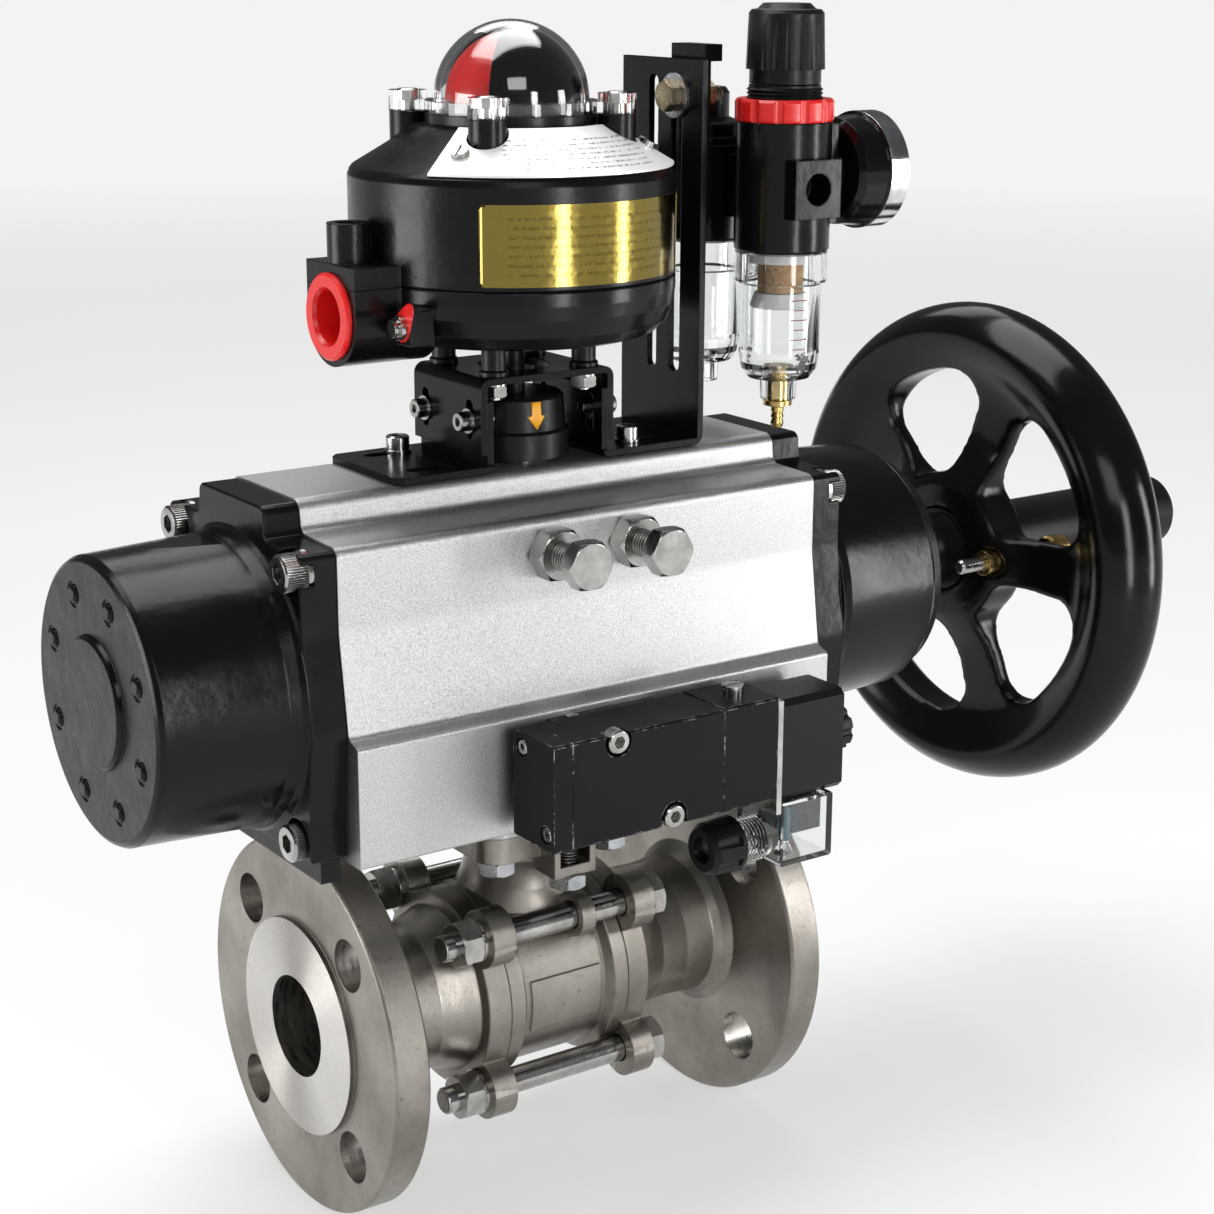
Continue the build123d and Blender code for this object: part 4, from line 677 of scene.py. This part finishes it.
def thin_sheet(rows, place, thickness, columns):
    """Closed thin sheet on a surface: rows of (height, left, right), put in space by place(u, v, lift)."""
    verts = []
    for lift in (thickness, 0.00003):
        for v, left, right in rows:
            verts += [place(left + (right - left) * k / columns, v, lift) for k in range(columns + 1)]
    wide = columns + 1
    layer = wide * len(rows)

    def at(side, row, column):
        return side * layer + row * wide + column

    faces = []
    for r in range(len(rows) - 1):
        for k in range(columns):
            faces.append((at(0, r, k), at(0, r, k + 1), at(0, r + 1, k + 1), at(0, r + 1, k)))
            faces.append((at(1, r, k), at(1, r + 1, k), at(1, r + 1, k + 1), at(1, r, k + 1)))
        for k in (0, columns):
            faces.append((at(0, r, k), at(0, r + 1, k), at(1, r + 1, k), at(1, r, k)))
    for r in (0, len(rows) - 1):
        for k in range(columns):
            faces.append((at(0, r, k), at(1, r, k), at(1, r, k + 1), at(0, r, k + 1)))
    return verts, faces


def joined(sheets):
    verts, faces = [], []
    for more_verts, more_faces in sheets:
        faces += [tuple(index + len(verts) for index in face) for face in more_faces]
        verts += more_verts
    return verts, faces


def on_cone(centre, middle, low, high):
    """Places (u, v) on an upright cone; low and high are (z, radius), middle is an angle in degrees."""
    def place(u, v, lift):
        radius = low[1] + (high[1] - low[1]) * (v - low[0]) / (high[0] - low[0]) + lift
        angle = math.radians(middle) + u / low[1]
        return (centre[0] + radius * math.cos(angle), centre[1] + radius * math.sin(angle), v)
    return place


def rounded_rows(bottom, top, half, corner, steps=5):
    """Rows of a rectangle with rounded corners."""
    rows = []
    for k in range(steps + 1):
        angle = math.pi / 2 * k / steps
        rows.append((bottom + corner * (1 - math.sin(angle)), half - corner * (1 - math.cos(angle))))
    rows = sorted(rows)
    rows += [(top - (v - bottom), w) for v, w in reversed(rows)]
    return [(v, -w, w) for v, w in rows]


def lathe(profile, centre, axis, segments=64):
    """Closed surface of revolution from (along, radius) points, about an axis along X or Z."""
    verts, faces = [], []
    for along, radius in profile:
        for k in range(segments):
            turn = 2 * math.pi * k / segments
            a, b = radius * math.cos(turn), radius * math.sin(turn)
            offset = (along, a, b) if axis == "X" else (a, b, along)
            verts.append(tuple(c + o for c, o in zip(centre, offset)))
    count = len(profile)
    for r in range(count):
        below, above = r * segments, (r + 1) % count * segments
        faces += [(below + k, below + (k + 1) % segments, above + (k + 1) % segments, above + k)
                  for k in range(segments)]
    return verts, faces


def add_label():
    place = on_cone((STEM_X, 0), -87.6, (0.27, BOX_R + 0.00005), (0.30, BOX_R + 0.00005))
    sheet = thin_sheet(rounded_rows(0.2702, 0.2975, 0.0466, 0.0015), place, 0.00012, 48)
    add_piece("foil_label", *sheet, "gold", "frame", "brass")


def add_arrow():
    place = on_cone((STEM_X, 0), -96.5, (0.213, 0.01865), (0.224, 0.01805))
    rows = [(0.2141, 0.0001), (0.2188, 0.0037), (0.2189, 0.0019), (0.2215, 0.0019), (0.2239, 0.0019)]
    sheet = thin_sheet([(v, -w, w) for v, w in rows], place, 0.00025, 8)
    add_piece("arrow_decal", *sheet, "yellow", "drive", "red_plastic")


def add_ground_tag():
    """Red tongue behind the earth screw of the switch box."""
    turn = math.radians(40)

    def place(u, v, lift):
        return (STEM_X - 0.0591 - lift, -0.0235 - v * math.sin(turn) - u * math.cos(turn),
                0.256 + v * math.cos(turn) - u * math.sin(turn))

    outline = [(-0.0048, 0.0012), (-0.0040, 0.0030), (-0.0020, 0.0046), (0.0, 0.0050), (0.0030, 0.0044),
               (0.0080, 0.0028), (0.0100, 0.0018), (0.0108, 0.0006)]
    sheet = thin_sheet([(v, -w, w) for v, w in outline], place, 0.0005, 6)
    add_piece("ground_tag", *sheet, "red", "frame", "red_plastic")


def add_bowl_scales():
    """Faint red graduations on the side of both bowls that faces the solenoid."""
    sheets = []
    for centre, middle in ((FILTER, -100.0), (LUBRICATOR, -135.0)):
        place = on_cone(centre, middle, (0.235, 0.01492), (0.2605, 0.01502))
        for k in range(6):
            z = 0.2375 + 0.0036 * k
            half = 0.0034 if k % 2 else 0.0022
            sheets.append(thin_sheet([(z, -half, half), (z + 0.00035, -half, half)], place, 0.00008, 6))
    add_piece("bowl_scales", *joined(sheets), "scale_red", "frame", "red_plastic")


def add_gauge_glass():
    centre = (0.0, FILTER[1], GAUGE_Z)
    disc = [(0.2341, 0.0001), (0.2341, 0.0184), (0.2353, 0.0184), (0.2356, 0.0170), (0.2358, 0.0001)]
    add_piece("gauge_glass", *lathe(disc, centre, "X"), "clear", "frame", "clear_plastic")


def add_connector_parts():
    """Lamp and terminal that show through the clear connector."""
    lamp = [(0.0665, 0.0001), (0.0665, 0.0013), (0.0690, 0.0016), (0.0790, 0.0016), (0.0798, 0.0001)]
    add_piece("connector_lamp", *lathe(lamp, (STEM_X + 0.0605, -0.0865, 0.0), "Z", 24), "lamp", "frame",
              "switch_plastic")
    post = [(0.0600, 0.0001), (0.0600, 0.0030), (0.0612, 0.0030),
            (0.0640, 0.0012), (0.0660, 0.0012), (0.0660, 0.0001)]
    add_piece("connector_post", *lathe(post, (STEM_X + 0.0625, -0.0840, 0.0), "Z", 24), "clear", "frame",
              "clear_plastic")


add_label()
add_arrow()
add_ground_tag()
add_bowl_scales()
add_gauge_glass()
add_connector_parts()


# ---------------------------------------------------------------- floor, lights and camera

def add_floor():
    mesh = bpy.data.meshes.new("floor")
    grid = bmesh.new()
    bmesh.ops.create_circle(grid, cap_ends=True, radius=40.0, segments=96)
    grid.to_mesh(mesh)
    grid.free()
    mesh.materials.append(M["floor"])
    floor = bpy.data.objects.new("floor", mesh)
    floor.location = (0, 0, FLOOR_Z)
    bpy.context.scene.collection.objects.link(floor)


def add_softbox(name, at, aim, size, power, colour=(1, 1, 1)):
    light = bpy.data.lights.new(name, "AREA")
    light.shape = "RECTANGLE"
    light.size, light.size_y = size
    light.energy = power
    light.color = colour
    obj = bpy.data.objects.new(name, light)
    obj.location = at
    obj.rotation_euler = (Vector(aim) - Vector(at)).to_track_quat("-Z", "Y").to_euler()
    bpy.context.scene.collection.objects.link(obj)


def add_lights():
    world = bpy.data.worlds.new("studio")
    bpy.context.scene.world = world
    world.use_nodes = True
    background = world.node_tree.nodes["Background"]
    background.inputs["Color"].default_value = (0.96, 0.98, 1.0, 1.0)
    background.inputs["Strength"].default_value = 0.12
    middle = (0.1, 0.0, 0.14)
    add_softbox("left_card", (-0.95, 0.32, 0.22), middle, (0.60, 0.50), 8)
    add_softbox("front_strip", (0.12, -1.0, 0.26), middle, (0.14, 0.60), 4)
    add_softbox("right_strip", (0.86, -0.70, 0.24), middle, (0.14, 0.56), 4)
    add_softbox("overhead", (0.1, 0.30, 1.5), middle, (1.6, 0.9), 24)
    add_softbox("front_fill", (-0.6, -1.6, 1.2), middle, (0.9, 0.6), 7)
    add_softbox("behind", (0.9, 1.4, 1.5), middle, (1.0, 0.7), 5)


def add_camera():
    flat = math.cos(CAMERA_PITCH)
    forward = Vector((math.sin(CAMERA_YAW) * flat, math.cos(CAMERA_YAW) * flat, -math.sin(CAMERA_PITCH)))
    level = Vector((math.cos(CAMERA_YAW), -math.sin(CAMERA_YAW), 0))
    up = level.cross(forward)
    right = math.cos(CAMERA_ROLL) * level + math.sin(CAMERA_ROLL) * up
    up = right.cross(forward)
    data = bpy.data.cameras.new("camera")
    data.sensor_width = 36.0
    data.lens = CAMERA_LENS
    data.shift_x, data.shift_y = CAMERA_SHIFT
    data.clip_start = 0.02
    camera = bpy.data.objects.new("camera", data)
    turn = Matrix((right, up, -forward)).transposed()
    camera.matrix_world = Matrix.Translation(CAMERA_AT) @ turn.to_4x4()
    bpy.context.scene.collection.objects.link(camera)
    bpy.context.scene.camera = camera


add_floor()
add_lights()
add_camera()
bpy.context.scene.view_settings.view_transform = "Standard"

bpy.context.view_layer.update()
